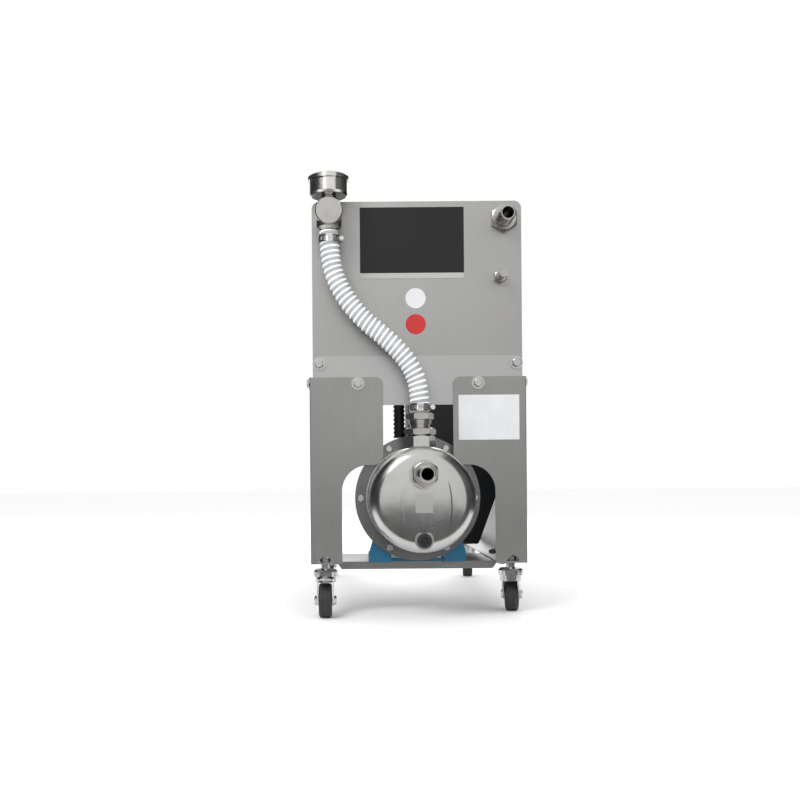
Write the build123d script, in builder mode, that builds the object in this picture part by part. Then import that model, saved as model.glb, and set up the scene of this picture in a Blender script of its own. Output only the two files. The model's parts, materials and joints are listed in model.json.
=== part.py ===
from build123d import *

import math
import os

# A wheeled stainless-steel jet pump unit: a self-priming jet pump and its motor on a shelf
# between two folded side frames, with a head plate that carries the delivery fittings.
# X runs to the right, Y to the back and Z up, in millimetres. The floor is Z = 0.
# Depths count back from the front face of the legs, at Y = FRONT_Y.

# ---- Driving dimensions ------------------------------------------------------------------
UNIT_WIDTH = 364.0  # across the side frames
FRONT_Y = -216.95  # puts the origin under the middle of the whole unit
SHEET = 2.0  # folded stainless sheet
HEAD_TOP_Z = 698.0
FLANGE_Z = 88.0  # underside of the side frames' bottom flanges
LEG_TOP_Z = 402.0
RAIL_LENGTH = 555.0  # front to back along the floor flanges
PUMP_Z = 198.0  # height of the pump and motor axis
SHELL_R = 86.0  # outside of the pump body
CLAMP_RING_R = 106.5
HOSE_R = 16.25
HOSE_BORE_R = 12.55
WHEEL_R = 28.5
WHEEL_WIDTH = 22.0

FIT = 0.05  # radial clearance of a shaft in its bore
GAP = 0.5  # clearance between pieces that move past each other

CROWN_FACE = 0.95  # round end face of a spanner hexagon, over its flats
CROWN_ANGLE = math.radians(30)

HALF_WIDTH = UNIT_WIDTH / 2

# ---- Side frames -------------------------------------------------------------------------
SLOT_X = 59.0  # half the slot above the window
WINDOW_X = 129.0  # half the pump window
SHOULDER_Z = 254.0  # where the legs narrow beside the window
LEG_CORNER_R = 12.0
SHOULDER_R = 18.0
WINDOW_CORNER_R = 44.0
FOLD_R = 1.5
FLANGE_WIDTH = 50.0
RAIL_TOP_Z = 106.0
CHEEK_DEPTH = 30.0  # depth of the gusset wall at the top of the leg
GUSSET_TOP_Z = 328.0
GUSSET_FOOT_DEPTH = 450.0
GUSSET_R = 15.0
RAIL_END_R = 7.0
NOTCH_R = 10.0  # arch over the caster nut
NOTCH_Z = 91.0

# ---- Head and apron plates ---------------------------------------------------------------
HEAD_WIDTH = 353.0
HEAD_THICKNESS = 3.0
HEAD_BOTTOM_Z = 370.0
HEAD_CORNER_R = 12.0
EAR_DEPTH = 28.0  # folded ears that the side bolts hold
EAR_TOP_Z = 415.0
APRON_WIDTH = 351.0
APRON_BOTTOM_Z = 355.0
APRON_TOP_Z = 437.6
APRON_CORNER_R = 10.0
APRON_DEPTH = SHEET
HEAD_DEPTH = APRON_DEPTH + SHEET
HEAD_BACK = HEAD_DEPTH + HEAD_THICKNESS

# ---- Fasteners ---------------------------------------------------------------------------
M8_R = 4.0
M8_HOLE_R = 4.3
M8_FLATS = 13.0
M8_HEAD = 5.3
M8_NUT = 6.5
M8_WASHER_R = 11.0
M8_WASHER = 1.6
THREAD_PAST_NUT = 2.0
APRON_BOLT_X = 166.0
APRON_BOLT_Z = 425.0
LEG_BOLT_X = 101.0
LEG_BOLT_Z = 391.4
SIDE_BOLT_DEPTH = 19.0
SIDE_BOLT_Z = 394.0
SIDE_HEAD = 3.4  # low button heads on the outer walls

# ---- Labels, all blank -------------------------------------------------------------------
NAME_PLATE_SIZE = (175.0, 120.0)
NAME_PLATE_CENTRE = (-8.0, 628.0)
NAME_PLATE_THICKNESS = 0.8
RATING_LABEL_SIZE = (102.0, 75.5)
RATING_LABEL_CENTRE = (119.0, 333.2)
FILM = 0.3  # printed film thickness
ROUND_LABEL_R = 17.0
ROUND_LABEL_CENTRES = ((-2.5, 534.8), (-2.5, 491.0))

# ---- Pump shelf --------------------------------------------------------------------------
SHELF_DEPTH = 40.0  # front lip
SHELF_LENGTH = 146.0
SHELF_LIP = 11.0
SHELF_SIDE_CLEARANCE = 4.0
LIP_BOTTOM_X = 130.0
LIP_TOP_X = 140.0
SHELF_BOLT_X = 152.0
SHELF_BOLT_DEPTHS = (72.0, 160.0)

# ---- Pump --------------------------------------------------------------------------------
CLAMP_DEPTH = 20.0  # front face of the clamp ring
CLAMP_RING = 5.0
CLAMP_RING_BORE_R = 88.0
BODY_FLANGE = 2.0
BODY_FLANGE_R = 104.0
GASKET = 1.0
SEAL_PLATE = 2.0
LANTERN_FLANGE = 8.0
SHELL_WALL = 2.0
DOME_RIM_DEPTH = -84.0  # where the domed front would meet the barrel without its rounded edge
DOME_NOSE_DEPTH = -95.0
DOME_EDGE_R = 24.0
DOME_PAD = (28.0, 31.0)
DOME_PAD_Z = -5.0  # below the pump axis
DOME_PAD_DEPTH = -96.0
BOLT_CIRCLE_R = 97.0
CLAMP_BOLTS = 6
M6_R = 3.0
M6_HOLE_R = 3.3
M6_FLATS = 10.0
M6_HEAD = 4.0
M6_NUT = 5.0
BODY_FLANGE_DEPTH = CLAMP_DEPTH + CLAMP_RING
GASKET_DEPTH = BODY_FLANGE_DEPTH + BODY_FLANGE
SEAL_DEPTH = GASKET_DEPTH + GASKET
LANTERN_DEPTH = SEAL_DEPTH + SEAL_PLATE
LANTERN_BACK = LANTERN_DEPTH + LANTERN_FLANGE

INLET_RISE = 41.0  # inlet above the pump axis
INLET_BOSS_R = 23.0
INLET_BOSS_DEPTH = -104.0
INLET_FLATS = 38.0
INLET_HEX = 12.0
INLET_MOUTH_DEPTH = -150.0
NIPPLE_R = 13.2  # outside of a three-quarter-inch pipe thread
NIPPLE_BORE_R = 9.8
SPIGOT_R = 11.5
INLET_SPIGOT = 14.0

DRAIN_DROP = 64.0  # drain plug below the pump axis
DRAIN_BOSS_R = 15.0
DRAIN_BOSS_DEPTH = -91.0
DRAIN_HEAD_R = 11.5
DRAIN_HEAD = 8.0
DRAIN_FLATS = 12.0
DRAIN_SOCKET = 4.0
DRAIN_THREAD_R = 8.0
DRAIN_THREAD = 13.0

FITTING_DEPTH = -32.0  # plane of the hose, the discharge and the inlet block's ports
DISCHARGE_FLATS = 44.0
DISCHARGE_TOP_Z = 302.0
DISCHARGE_ROOT_Z = 272.0
COLLAR_R = 16.5
COLLAR_TOP_Z = 308.0
UNION_FLATS = 46.0
UNION_TOP_Z = 314.0
TAIL_RING_R = 18.5
TAIL_RING_Z = (320.5, 327.0)
TAIL_HEX_FLATS = 40.0
TAIL_HEX_Z = (327.0, 339.0)
BARB_R = 12.5
BARB_LENGTH = 20.0
TAIL_BORE_R = 9.5

# ---- Motor -------------------------------------------------------------------------------
LANTERN_HUB_R = 27.0
LANTERN_BORE_R = 16.0
BARREL_R = 66.0
BARREL_BORE_R = 60.0
MOTOR_FRONT_DEPTH = 60.0
MOTOR_BACK_DEPTH = 232.0
FIN_R = 72.0
FINS = 28
FIN_WIDTH = 2.2
STATOR_DEPTHS = (85.0, 205.0)
ROTOR_DEPTHS = (92.0, 198.0)
ROTOR_R = 32.0
SHAFT_R = 7.5
SHAFT_DEPTHS = (-2.0, 266.0)
BEARING_R = 20.0
BEARING_WIDTH = 12.0
FRONT_BEARING_DEPTH = 46.0
REAR_BEARING_DEPTH = 219.0
END_SHIELD = 7.0
FAN_HUB_R = 13.0
FAN_R = 54.0
FAN_DEPTHS = (244.0, 262.0)
FAN_BLADES = 7
FAN_BLADE = 3.0
COVER_R = 70.0
COVER_WALL = 1.5
COVER_BACK_DEPTH = 276.0
VENT_RING_RADII = (20.0, 32.0, 44.0, 56.0)
VENT_HOLE_R = 4.0

# ---- Hydraulics inside the pump body -----------------------------------------------------
IMPELLER_R = 62.0
IMPELLER_DEPTHS = (2.0, 18.0)
IMPELLER_EYE_R = 18.0
IMPELLER_HUB_R = 13.0
IMPELLER_DISC = 3.0
VANES = 6
VANE = 2.5
DIFFUSER_R = 70.0
DIFFUSER_DEPTHS = (-6.0, 28.0)
DIFFUSER_WALL = 3.0
EJECTOR_R = 20.0
EJECTOR_THROAT_R = 8.0
EJECTOR_NOSE_R = 14.0
EJECTOR_NOSE_DEPTH = -78.0
EJECTOR_BORE_R = 12.0

# ---- Foot --------------------------------------------------------------------------------
FOOT_X = 83.0
FOOT_ARCH_X = 45.0
FOOT_TOP_Z = 128.0
FOOT_TOP_X = 76.0
FOOT_BACK_DEPTH = 72.0
FOOT_WEB = 6.0
FOOT_BOLT_X = 64.0
FOOT_BOLT_DEPTH = 54.0
FOOT_LUG_TOP_Z = 104.0

# ---- Electrical boxes --------------------------------------------------------------------
TERMINAL_X = (-6.0, 84.0)
TERMINAL_Z = (270.0, 365.0)
TERMINAL_DEPTHS = (110.0, 210.0)
TERMINAL_WALL = 3.0
TERMINAL_LID = 7.0
TERMINAL_CORNER_R = 5.0
SADDLE_X = (10.0, 60.0)
SADDLE_DEPTHS = (130.0, 195.0)
SADDLE_BOTTOM_Z = 225.0
GLAND_X = -21.5
GLAND_DEPTH = 150.0
GLAND_ARM_Z = 316.0
GLAND_ARM_R = 8.0
GLAND_R = 10.5
GLAND_GROOVE_R = 9.2
GLAND_Z = (305.0, 376.0)
GLAND_RIBS = 9
GLAND_BORE_R = 5.0
GLAND_BORE = 40.0
CONTROL_DEPTHS = (170.0, 250.0)
CONTROL_X = (80.0, 162.0)
CONTROL_Z = (106.0, 255.0)
CONTROL_SLOPE = (127.0, 200.0)  # where the lower outer side slopes in: bottom X, top Z
CONTROL_WALL = 3.0
CONTROL_CORNER_R = 5.0
SPACER_R = 6.0
SPACERS = ((186.0, 214.0), (236.0, 207.0))  # depth and height of each wall spacer
SWITCH_CENTRE = (116.0, 215.0)
SWITCH_FRAME = (34.0, 26.0)
SWITCH_FRAME_DEPTH = 6.0
ROCKER = (22.0, 14.0)
ROCKER_DEPTH = 5.0
ROCKER_PIN_R = 1.5
ROCKER_PIN_REACH = 2.5
SWITCH_GAP = 0.8

# ---- Fittings on the head plate ----------------------------------------------------------
PORT_Z = 667.0
INLET_BLOCK_X = -147.0
BLOCK_R = 22.5
BLOCK_FRONT_DEPTH = -57.0
BLOCK_TOP_Z = 690.0
BLOCK_BOTTOM_Z = 644.0
BLOCK_PORT_R = 21.0
BLOCK_CHAMFER = 1.5
UPPER_TAIL_R = 14.0
HOSE_TOP_Z = 638.0
HOSE_BOTTOM_Z = TAIL_HEX_Z[1]
HEADER_SPIGOT_R = 12.0
HEADER_SPIGOT = 16.0
OUTLET_X = 147.0
OUTLET_MOUTH_DEPTH = -36.0
LOCKNUT_FLATS = 41.0
LOCKNUT = 9.0
LOCKNUT_BORE_R = 12.6  # its thread's crests reach inside the nipple's
VENT_X = 140.0
VENT_Z = 569.0
VENT_FLATS = 19.0
VENT_HEX = 9.0
VENT_BARREL_R = 5.0
VENT_BARREL_DEPTH = -16.0
VENT_SPIGOT_R = 5.0
VENT_KNOB_R = 6.5
VENT_KNOB_DEPTHS = (-30.0, -16.5)
VENT_SPINDLE_R = 2.0
VENT_SPINDLE = 9.0
HEADER_DEPTH = 30.0
HEADER_R = 16.85
HEADER_BORE_R = 14.0
HEADER_OVERHANG = 24.0
BRANCH_R = 10.65
BRANCH_BORE_R = 8.0
BRANCH_BELOW_VENT = 14.0
STUB_R = 19.0
VENT_STUB_R = 9.0

# ---- Hose clamps -------------------------------------------------------------------------
BAND = 1.0
BAND_WIDTH = 12.0
UPPER_BAND_Z = 625.0
LOWER_BAND_Z = 348.0
WORM_R = 4.2
WORM_LENGTH = 15.0
WORM_FLATS = 7.0
WORM_HEX = 3.0

# ---- Pressure gauge ----------------------------------------------------------------------
GAUGE_R = 31.5
GAUGE_BASE_Z = 696.0
GAUGE_RIM_Z = 723.5
GAUGE_BASE_R = 28.5
GAUGE_BASE_CHAMFER_Z = 699.0
GAUGE_STEM_FLATS = 22.0
DIAL_Z = 716.0
DIAL_R = 29.6
DIAL = 1.0
DIAL_LEDGE_R = 28.0
GAUGE_BORE_R = 29.8
GAUGE_WALL = 2.0
GAUGE_FLOOR_Z = 698.0
BEZEL_R = 34.5
BEZEL_BOTTOM_Z = 719.5
BEZEL_TOP_Z = 727.5
BEZEL_LIP_R = 28.5
BEZEL_ROUND = 2.0
LENS = 2.0
POINTER_Z = 718.5
POINTER = 1.0
POINTER_LENGTH = 23.0
POINTER_TAIL = 8.0
POINTER_WIDTH = 2.4
POINTER_TIP = 0.8
POINTER_HUB_R = 3.2
POINTER_PIN_R = 1.2
POINTER_PIN_Z = 708.0
POINTER_REST_ANGLE = 225.0  # from +X, anticlockwise seen from above: zero on the dial

# ---- Casters -----------------------------------------------------------------------------
CASTER_INSET = 24.0  # stem to the outer wall
CASTER_DEPTHS = (25.0, 525.0)
CASTER_TRAIL = 30.0
STEM_R = 6.0
STEM_NECK_R = 7.5
STEM_HOLE_R = 6.3
STEM_NUT = 8.0
STEM_NUT_FLATS = 17.0
STEM_PAST_NUT = 1.5
DISH_R = 21.0
DISH_Z = (66.0, 77.0)
DISH_ROUND = 3.0
KINGPIN_R = 5.0
KINGPIN_HEAD_R = 8.0
KINGPIN_HEAD_Z = (58.5, 61.0)
SWIVEL_R = 18.0
SWIVEL_Z = (56.0, 65.5)
SWIVEL_ROOF = 4.0
SWIVEL_POCKET_R = 10.0
CHEEK = 2.5
CHEEK_GAP = 1.0  # between each cheek and the wheel's side
AXLE_R = 4.0
AXLE_BOSS_R = 9.0
AXLE_NUT = 4.0
AXLE_NUT_FLATS = 13.0
HUB_R = 9.0
HUB_STEP = 0.5
TYRE_ROUND = 4.0
LEVER_PIVOT = 26.0  # lever pivot behind the stem
LEVER_PIVOT_Z = 61.0
LEVER_PIN_R = 2.0
LEVER_HUB_R = 3.6
LEVER_EAR_R = 4.5
LEVER_WIDTH = 18.0
LEVER_REACH = 34.0
LEVER = 2.5
LEVER_TIP_WIDTH = 14.0
# Resting swivel angle of each caster: 0 trails to the back, anticlockwise from above.
CASTERS = {
    "front_left": (-1, 0, 180.0),
    "front_right": (1, 0, -15.0),
    "rear_left": (-1, 1, 0.0),
    "rear_right": (1, 1, -8.0),
}


# ---- Helpers -----------------------------------------------------------------------------
def front_plane(depth):
    """Sheet plane at a depth: sketches are in (X, Z) and thicken to the back when negative."""
    return Plane(origin=(0, FRONT_Y + depth, 0), x_dir=(1, 0, 0), z_dir=(0, -1, 0))


def side_plane(x):
    """Sheet plane at an X: sketches are in (depth, Z) and thicken to +X when positive."""
    return Plane(origin=(x, FRONT_Y, 0), x_dir=(0, 1, 0), z_dir=(1, 0, 0))


def level_plane(z):
    """Level plane: sketches are in (X, depth) and thicken upwards when positive."""
    return Plane(origin=(0, FRONT_Y, z), x_dir=(1, 0, 0), z_dir=(0, 0, 1))


def depth_axis(x, z):
    """Turning plane on a front-to-back axis: outlines are (depth, radius)."""
    return Plane(origin=(x, FRONT_Y, z), x_dir=(0, 1, 0), z_dir=(1, 0, 0))


def upright_axis(x, depth):
    """Turning plane on an upright axis: outlines are (height, radius)."""
    return Plane(origin=(x, FRONT_Y + depth, 0), x_dir=(0, 0, 1), z_dir=(0, -1, 0))


def across_axis(depth, z):
    """Turning plane on a left-to-right axis: outlines are (X, radius)."""
    return Plane(origin=(0, FRONT_Y + depth, z), x_dir=(1, 0, 0), z_dir=(0, -1, 0))


def turn(plane, *outline, mode=Mode.ADD):
    """Spin a closed outline of (distance, radius) corners about a turning plane's axis."""
    with BuildSketch(plane) as profile:
        with BuildLine():
            Polyline(*outline, close=True)
        make_face()
    revolve(profile.sketch, axis=Axis(plane.origin, plane.x_dir), mode=mode)


def tube(plane, start, end, radius, bore=0.0, mode=Mode.ADD):
    """A rod, or a tube if it has a bore, from start to end along a turning plane's axis."""
    turn(plane, (start, bore), (end, bore), (end, radius), (start, radius), mode=mode)


def hexagon(plane, start, end, flats, mode=Mode.ADD):
    """A hexagon bar of a width across flats, from start to end along a turning plane's axis."""
    base = Plane(origin=plane.origin + plane.x_dir * start, x_dir=plane.y_dir, z_dir=plane.x_dir)
    with BuildSketch(base) as profile:
        RegularPolygon(radius=flats / 2, side_count=6, major_radius=False)
    extrude(profile.sketch, amount=end - start, mode=mode)


def crowned_hexagon(plane, start, end, flats):
    """A hexagon for a spanner: its corners are turned back to a round face at both ends."""
    corner_r = flats / math.sqrt(3)
    face_r = CROWN_FACE * flats / 2
    rise = (corner_r - face_r) * math.tan(CROWN_ANGLE)
    with BuildPart(mode=Mode.PRIVATE) as bar:
        hexagon(plane, start, end, flats)
        turn(
            plane,
            (start, 0),
            (start, face_r),
            (start + rise, corner_r),
            (end - rise, corner_r),
            (end, face_r),
            (end, 0),
            mode=Mode.INTERSECT,
        )
    add(bar.part)


def bolt(plane, start, grip, head=M8_HEAD):
    """An M8 bolt with its washer and nut. It enters at start and clamps the grip beyond it."""
    end = start + grip
    under_head = start - M8_WASHER
    tube(plane, under_head, start, M8_WASHER_R)
    crowned_hexagon(plane, under_head - head, under_head, M8_FLATS)
    tube(plane, start, end + M8_NUT + THREAD_PAST_NUT, M8_R)
    crowned_hexagon(plane, end, end + M8_NUT, M8_FLATS)


def plain_bolt(plane, start, grip):
    """An M6 bolt and nut without washers. It enters at start and clamps the grip beyond it."""
    end = start + grip
    crowned_hexagon(plane, start - M6_HEAD, start, M6_FLATS)
    tube(plane, start, end + M6_NUT + THREAD_PAST_NUT, M6_R)
    crowned_hexagon(plane, end, end + M6_NUT, M6_FLATS)


def sheet_rectangle(plane, low, high, thickness, mode=Mode.ADD):
    """A rectangle between two corners of a sheet plane, thickened along the plane's normal."""
    centre = ((low[0] + high[0]) / 2, (low[1] + high[1]) / 2)
    with BuildSketch(plane) as profile:
        with Locations(centre):
            Rectangle(high[0] - low[0], high[1] - low[1])
    extrude(profile.sketch, amount=thickness, mode=mode)


def holes(plane, centres, radius, thickness):
    """Cut round holes at centres on a sheet plane."""
    with BuildSketch(plane) as profile:
        with Locations(*centres):
            Circle(radius)
    extrude(profile.sketch, amount=thickness, mode=Mode.SUBTRACT)


def corner(sketch, x, y):
    """The corner of a sketch being built that is nearest to a point in its own plane."""
    return sketch.vertices().sort_by_distance((x, y, 0))[0]


def drill_bolt_circle():
    """Cut the clamp bolt holes through the clamped piece being built."""
    with BuildSketch(front_plane(CLAMP_DEPTH)) as profile:
        with Locations((0, PUMP_Z)):
            with PolarLocations(BOLT_CIRCLE_R, CLAMP_BOLTS):
                Circle(M6_HOLE_R)
    extrude(profile.sketch, amount=-(LANTERN_BACK - CLAMP_DEPTH), mode=Mode.SUBTRACT)


def write(builder, name):
    """Label a finished piece and write it to its own file."""
    builder.part.label = name
    export_step(builder.part, f"parts/{name}.step")


os.makedirs("parts", exist_ok=True)

PUMP_AXIS = depth_axis(0, PUMP_Z)
INLET_AXIS = depth_axis(0, PUMP_Z + INLET_RISE)
DRAIN_AXIS = depth_axis(0, PUMP_Z - DRAIN_DROP)
DISCHARGE_AXIS = upright_axis(0, FITTING_DEPTH)
BLOCK_AXIS = depth_axis(INLET_BLOCK_X, PORT_Z)
GAUGE_AXIS = upright_axis(INLET_BLOCK_X, FITTING_DEPTH)
OUTLET_AXIS = depth_axis(OUTLET_X, PORT_Z)
VENT_AXIS = depth_axis(VENT_X, VENT_Z)
CASTER_X = HALF_WIDTH - CASTER_INSET

# ---- Side frames: leg face, gusset wall and bottom flange of one folded sheet -------------
with BuildPart() as right_side_frame:
    with BuildSketch(front_plane(0)) as face:
        with BuildLine():
            Polyline(
                (HALF_WIDTH, FLANGE_Z),
                (HALF_WIDTH, LEG_TOP_Z),
                (SLOT_X, LEG_TOP_Z),
                (SLOT_X, SHOULDER_Z),
                (WINDOW_X, SHOULDER_Z),
                (WINDOW_X, FLANGE_Z),
                close=True,
            )
        make_face()
        fillet(corner(face, SLOT_X, LEG_TOP_Z), radius=LEG_CORNER_R)
        fillet(corner(face, SLOT_X, SHOULDER_Z), radius=SHOULDER_R)
        fillet(corner(face, WINDOW_X, SHOULDER_Z), radius=WINDOW_CORNER_R)
    extrude(amount=-SHEET)
    with BuildSketch(side_plane(HALF_WIDTH)) as wall:
        with BuildLine():
            Polyline(
                (0, FLANGE_Z),
                (0, LEG_TOP_Z),
                (CHEEK_DEPTH, LEG_TOP_Z),
                (CHEEK_DEPTH, GUSSET_TOP_Z),
                (GUSSET_FOOT_DEPTH, RAIL_TOP_Z),
                (RAIL_LENGTH, RAIL_TOP_Z),
                (RAIL_LENGTH, FLANGE_Z),
                close=True,
            )
        make_face()
        fillet(corner(wall, CHEEK_DEPTH, LEG_TOP_Z), radius=RAIL_END_R)
        fillet(corner(wall, CHEEK_DEPTH, GUSSET_TOP_Z), radius=GUSSET_R)
        fillet(corner(wall, GUSSET_FOOT_DEPTH, RAIL_TOP_Z), radius=GUSSET_R)
        fillet(corner(wall, RAIL_LENGTH, RAIL_TOP_Z), radius=RAIL_END_R)
    extrude(amount=-SHEET)
    sheet_rectangle(
        level_plane(FLANGE_Z), (HALF_WIDTH - FLANGE_WIDTH, 0), (HALF_WIDTH, RAIL_LENGTH), SHEET
    )
    folds = right_side_frame.edges().filter_by(Axis.Z)
    fillet(folds.sort_by_distance((HALF_WIDTH, FRONT_Y, SHOULDER_Z))[0], radius=FOLD_R)
    holes(
        level_plane(FLANGE_Z), [(CASTER_X, depth) for depth in CASTER_DEPTHS], STEM_HOLE_R, SHEET
    )
    holes(
        level_plane(FLANGE_Z), [(SHELF_BOLT_X, d) for d in SHELF_BOLT_DEPTHS], M8_HOLE_R, SHEET
    )
    holes(front_plane(0), [(LEG_BOLT_X, LEG_BOLT_Z)], M8_HOLE_R, -SHEET)
    holes(side_plane(HALF_WIDTH), [(SIDE_BOLT_DEPTH, SIDE_BOLT_Z)], M8_HOLE_R, -SHEET)
    with BuildSketch(front_plane(0)):
        with Locations((CASTER_X, NOTCH_Z)):
            Circle(NOTCH_R)
        with Locations((CASTER_X, NOTCH_Z - NOTCH_R / 2)):
            Rectangle(2 * NOTCH_R, NOTCH_R, mode=Mode.SUBTRACT)
    extrude(amount=-SHEET, mode=Mode.SUBTRACT)
write(right_side_frame, "right_side_frame")

with BuildPart() as left_side_frame:
    mirror(right_side_frame.part, about=Plane.YZ)
write(left_side_frame, "left_side_frame")

# ---- Head plate: carries the fittings, with a folded ear for each side bolt ---------------
with BuildPart() as head_plate:
    with BuildSketch(front_plane(HEAD_DEPTH)) as face:
        with Locations((0, (HEAD_TOP_Z + HEAD_BOTTOM_Z) / 2)):
            Rectangle(HEAD_WIDTH, HEAD_TOP_Z - HEAD_BOTTOM_Z)
        fillet(face.vertices().group_by(Axis.Y)[-1], radius=HEAD_CORNER_R)
    extrude(amount=-HEAD_THICKNESS)
    for side in (-1, 1):
        sheet_rectangle(
            side_plane(side * HEAD_WIDTH / 2),
            (HEAD_DEPTH, HEAD_BOTTOM_Z),
            (HEAD_DEPTH + EAR_DEPTH, EAR_TOP_Z),
            -side * HEAD_THICKNESS,
        )
        holes(
            side_plane(side * HEAD_WIDTH / 2),
            [(SIDE_BOLT_DEPTH, SIDE_BOLT_Z)],
            M8_HOLE_R,
            -side * HEAD_THICKNESS,
        )
        holes(
            front_plane(HEAD_DEPTH),
            [(side * APRON_BOLT_X, APRON_BOLT_Z), (side * LEG_BOLT_X, LEG_BOLT_Z)],
            M8_HOLE_R,
            -HEAD_THICKNESS,
        )
    holes(
        front_plane(HEAD_DEPTH),
        [(INLET_BLOCK_X, PORT_Z), (OUTLET_X, PORT_Z)],
        HEADER_SPIGOT_R + FIT,
        -HEAD_THICKNESS,
    )
    holes(front_plane(HEAD_DEPTH), [(VENT_X, VENT_Z)], VENT_SPIGOT_R + FIT, -HEAD_THICKNESS)
write(head_plate, "head_plate")

# ---- Apron plate: stiffens the joint between head plate and legs ---------------------------
with BuildPart() as apron_plate:
    with BuildSketch(front_plane(APRON_DEPTH)) as face:
        with Locations((0, (APRON_TOP_Z + APRON_BOTTOM_Z) / 2)):
            Rectangle(APRON_WIDTH, APRON_TOP_Z - APRON_BOTTOM_Z)
        fillet(face.vertices().group_by(Axis.Y)[-1], radius=APRON_CORNER_R)
    extrude(amount=-SHEET)
    holes(
        front_plane(APRON_DEPTH),
        [(side * x, z) for side in (-1, 1) for x, z in
         ((APRON_BOLT_X, APRON_BOLT_Z), (LEG_BOLT_X, LEG_BOLT_Z))],
        M8_HOLE_R,
        -SHEET,
    )
write(apron_plate, "apron_plate")

# ---- Frame bolts: apron, leg and side bolts -----------------------------------------------
with BuildPart() as frame_bolts:
    bolt(depth_axis(APRON_BOLT_X, APRON_BOLT_Z), APRON_DEPTH, HEAD_BACK - APRON_DEPTH)
    bolt(depth_axis(LEG_BOLT_X, LEG_BOLT_Z), 0, HEAD_BACK)
    across = across_axis(SIDE_BOLT_DEPTH, SIDE_BOLT_Z)
    ear_x = HEAD_WIDTH / 2
    ear_inner_x = ear_x - HEAD_THICKNESS
    washer_x = HALF_WIDTH + M8_WASHER
    crowned_hexagon(across, ear_inner_x - M8_NUT, ear_inner_x, M8_FLATS)
    tube(across, ear_inner_x, HALF_WIDTH, M8_R)
    tube(across, ear_x, HALF_WIDTH - SHEET, M8_WASHER_R)
    tube(across, HALF_WIDTH, washer_x, M8_WASHER_R)
    crowned_hexagon(across, washer_x, washer_x + SIDE_HEAD, M8_FLATS)
    mirror(about=Plane.YZ)
write(frame_bolts, "frame_bolts")

# ---- Blank labels --------------------------------------------------------------------------
with BuildPart() as name_plate:
    with BuildSketch(front_plane(HEAD_DEPTH)):
        with Locations(NAME_PLATE_CENTRE):
            Rectangle(*NAME_PLATE_SIZE)
    extrude(amount=NAME_PLATE_THICKNESS)
write(name_plate, "name_plate")

with BuildPart() as paper_labels:
    with BuildSketch(front_plane(0)):
        with Locations(RATING_LABEL_CENTRE):
            Rectangle(*RATING_LABEL_SIZE)
    extrude(amount=FILM)
    with BuildSketch(front_plane(HEAD_DEPTH)):
        with Locations(*ROUND_LABEL_CENTRES):
            Circle(ROUND_LABEL_R)
    extrude(amount=FILM)
write(paper_labels, "paper_labels")

# ---- Pump shelf: a tray with turned-down lips, cut back at the casters ---------------------
SHELF_X = HALF_WIDTH - SHELF_SIDE_CLEARANCE
with BuildPart() as pump_shelf:
    sheet_rectangle(
        level_plane(FLANGE_Z - SHEET),
        (-SHELF_X, SHELF_DEPTH),
        (SHELF_X, SHELF_DEPTH + SHELF_LENGTH),
        SHEET,
    )
    for lip_depth in (SHELF_DEPTH, SHELF_DEPTH + SHELF_LENGTH - SHEET):
        with BuildSketch(front_plane(lip_depth)):
            with BuildLine():
                Polyline(
                    (-LIP_TOP_X, FLANGE_Z),
                    (LIP_TOP_X, FLANGE_Z),
                    (LIP_BOTTOM_X, FLANGE_Z - SHEET - SHELF_LIP),
                    (-LIP_BOTTOM_X, FLANGE_Z - SHEET - SHELF_LIP),
                    close=True,
                )
            make_face()
        extrude(amount=-SHEET)
    shelf_bolt_places = [(side * SHELF_BOLT_X, d) for side in (-1, 1) for d in SHELF_BOLT_DEPTHS]
    foot_bolt_places = [(side * FOOT_BOLT_X, FOOT_BOLT_DEPTH) for side in (-1, 1)]
    holes(level_plane(FLANGE_Z), shelf_bolt_places + foot_bolt_places, M8_HOLE_R, -SHEET)
write(pump_shelf, "pump_shelf")

with BuildPart() as shelf_bolts:
    for x, depth in shelf_bolt_places:
        bolt(upright_axis(x, depth), FLANGE_Z - SHEET, 2 * SHEET)
    for x, depth in foot_bolt_places:
        bolt(upright_axis(x, depth), FLANGE_Z - SHEET, FOOT_LUG_TOP_Z - FLANGE_Z + SHEET)
write(shelf_bolts, "shelf_bolts")

# ---- Pump body: a pressed shell with a domed front, a flange and three bosses --------------
def shell_outline(inset):
    """Half the shell's section as (depth, radius), moved inwards by an inset."""
    with BuildSketch(PUMP_AXIS) as section:
        with BuildLine():
            rim = (DOME_RIM_DEPTH + inset, SHELL_R - inset)
            nose = (DOME_NOSE_DEPTH + inset, 0)
            back = BODY_FLANGE_DEPTH + BODY_FLANGE
            Polyline(nose, (back, 0), (back, SHELL_R - inset), rim)
            sag = rim[0] - nose[0]
            crown_r = (rim[1] ** 2 + sag**2) / (2 * sag)
            middle_angle = math.asin(rim[1] / crown_r) / 2
            middle = (
                nose[0] + crown_r * (1 - math.cos(middle_angle)),
                crown_r * math.sin(middle_angle),
            )
            ThreePointArc(rim, middle, nose)
        make_face()
        fillet(corner(section, *rim), radius=DOME_EDGE_R - inset)
    return section.sketch


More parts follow.
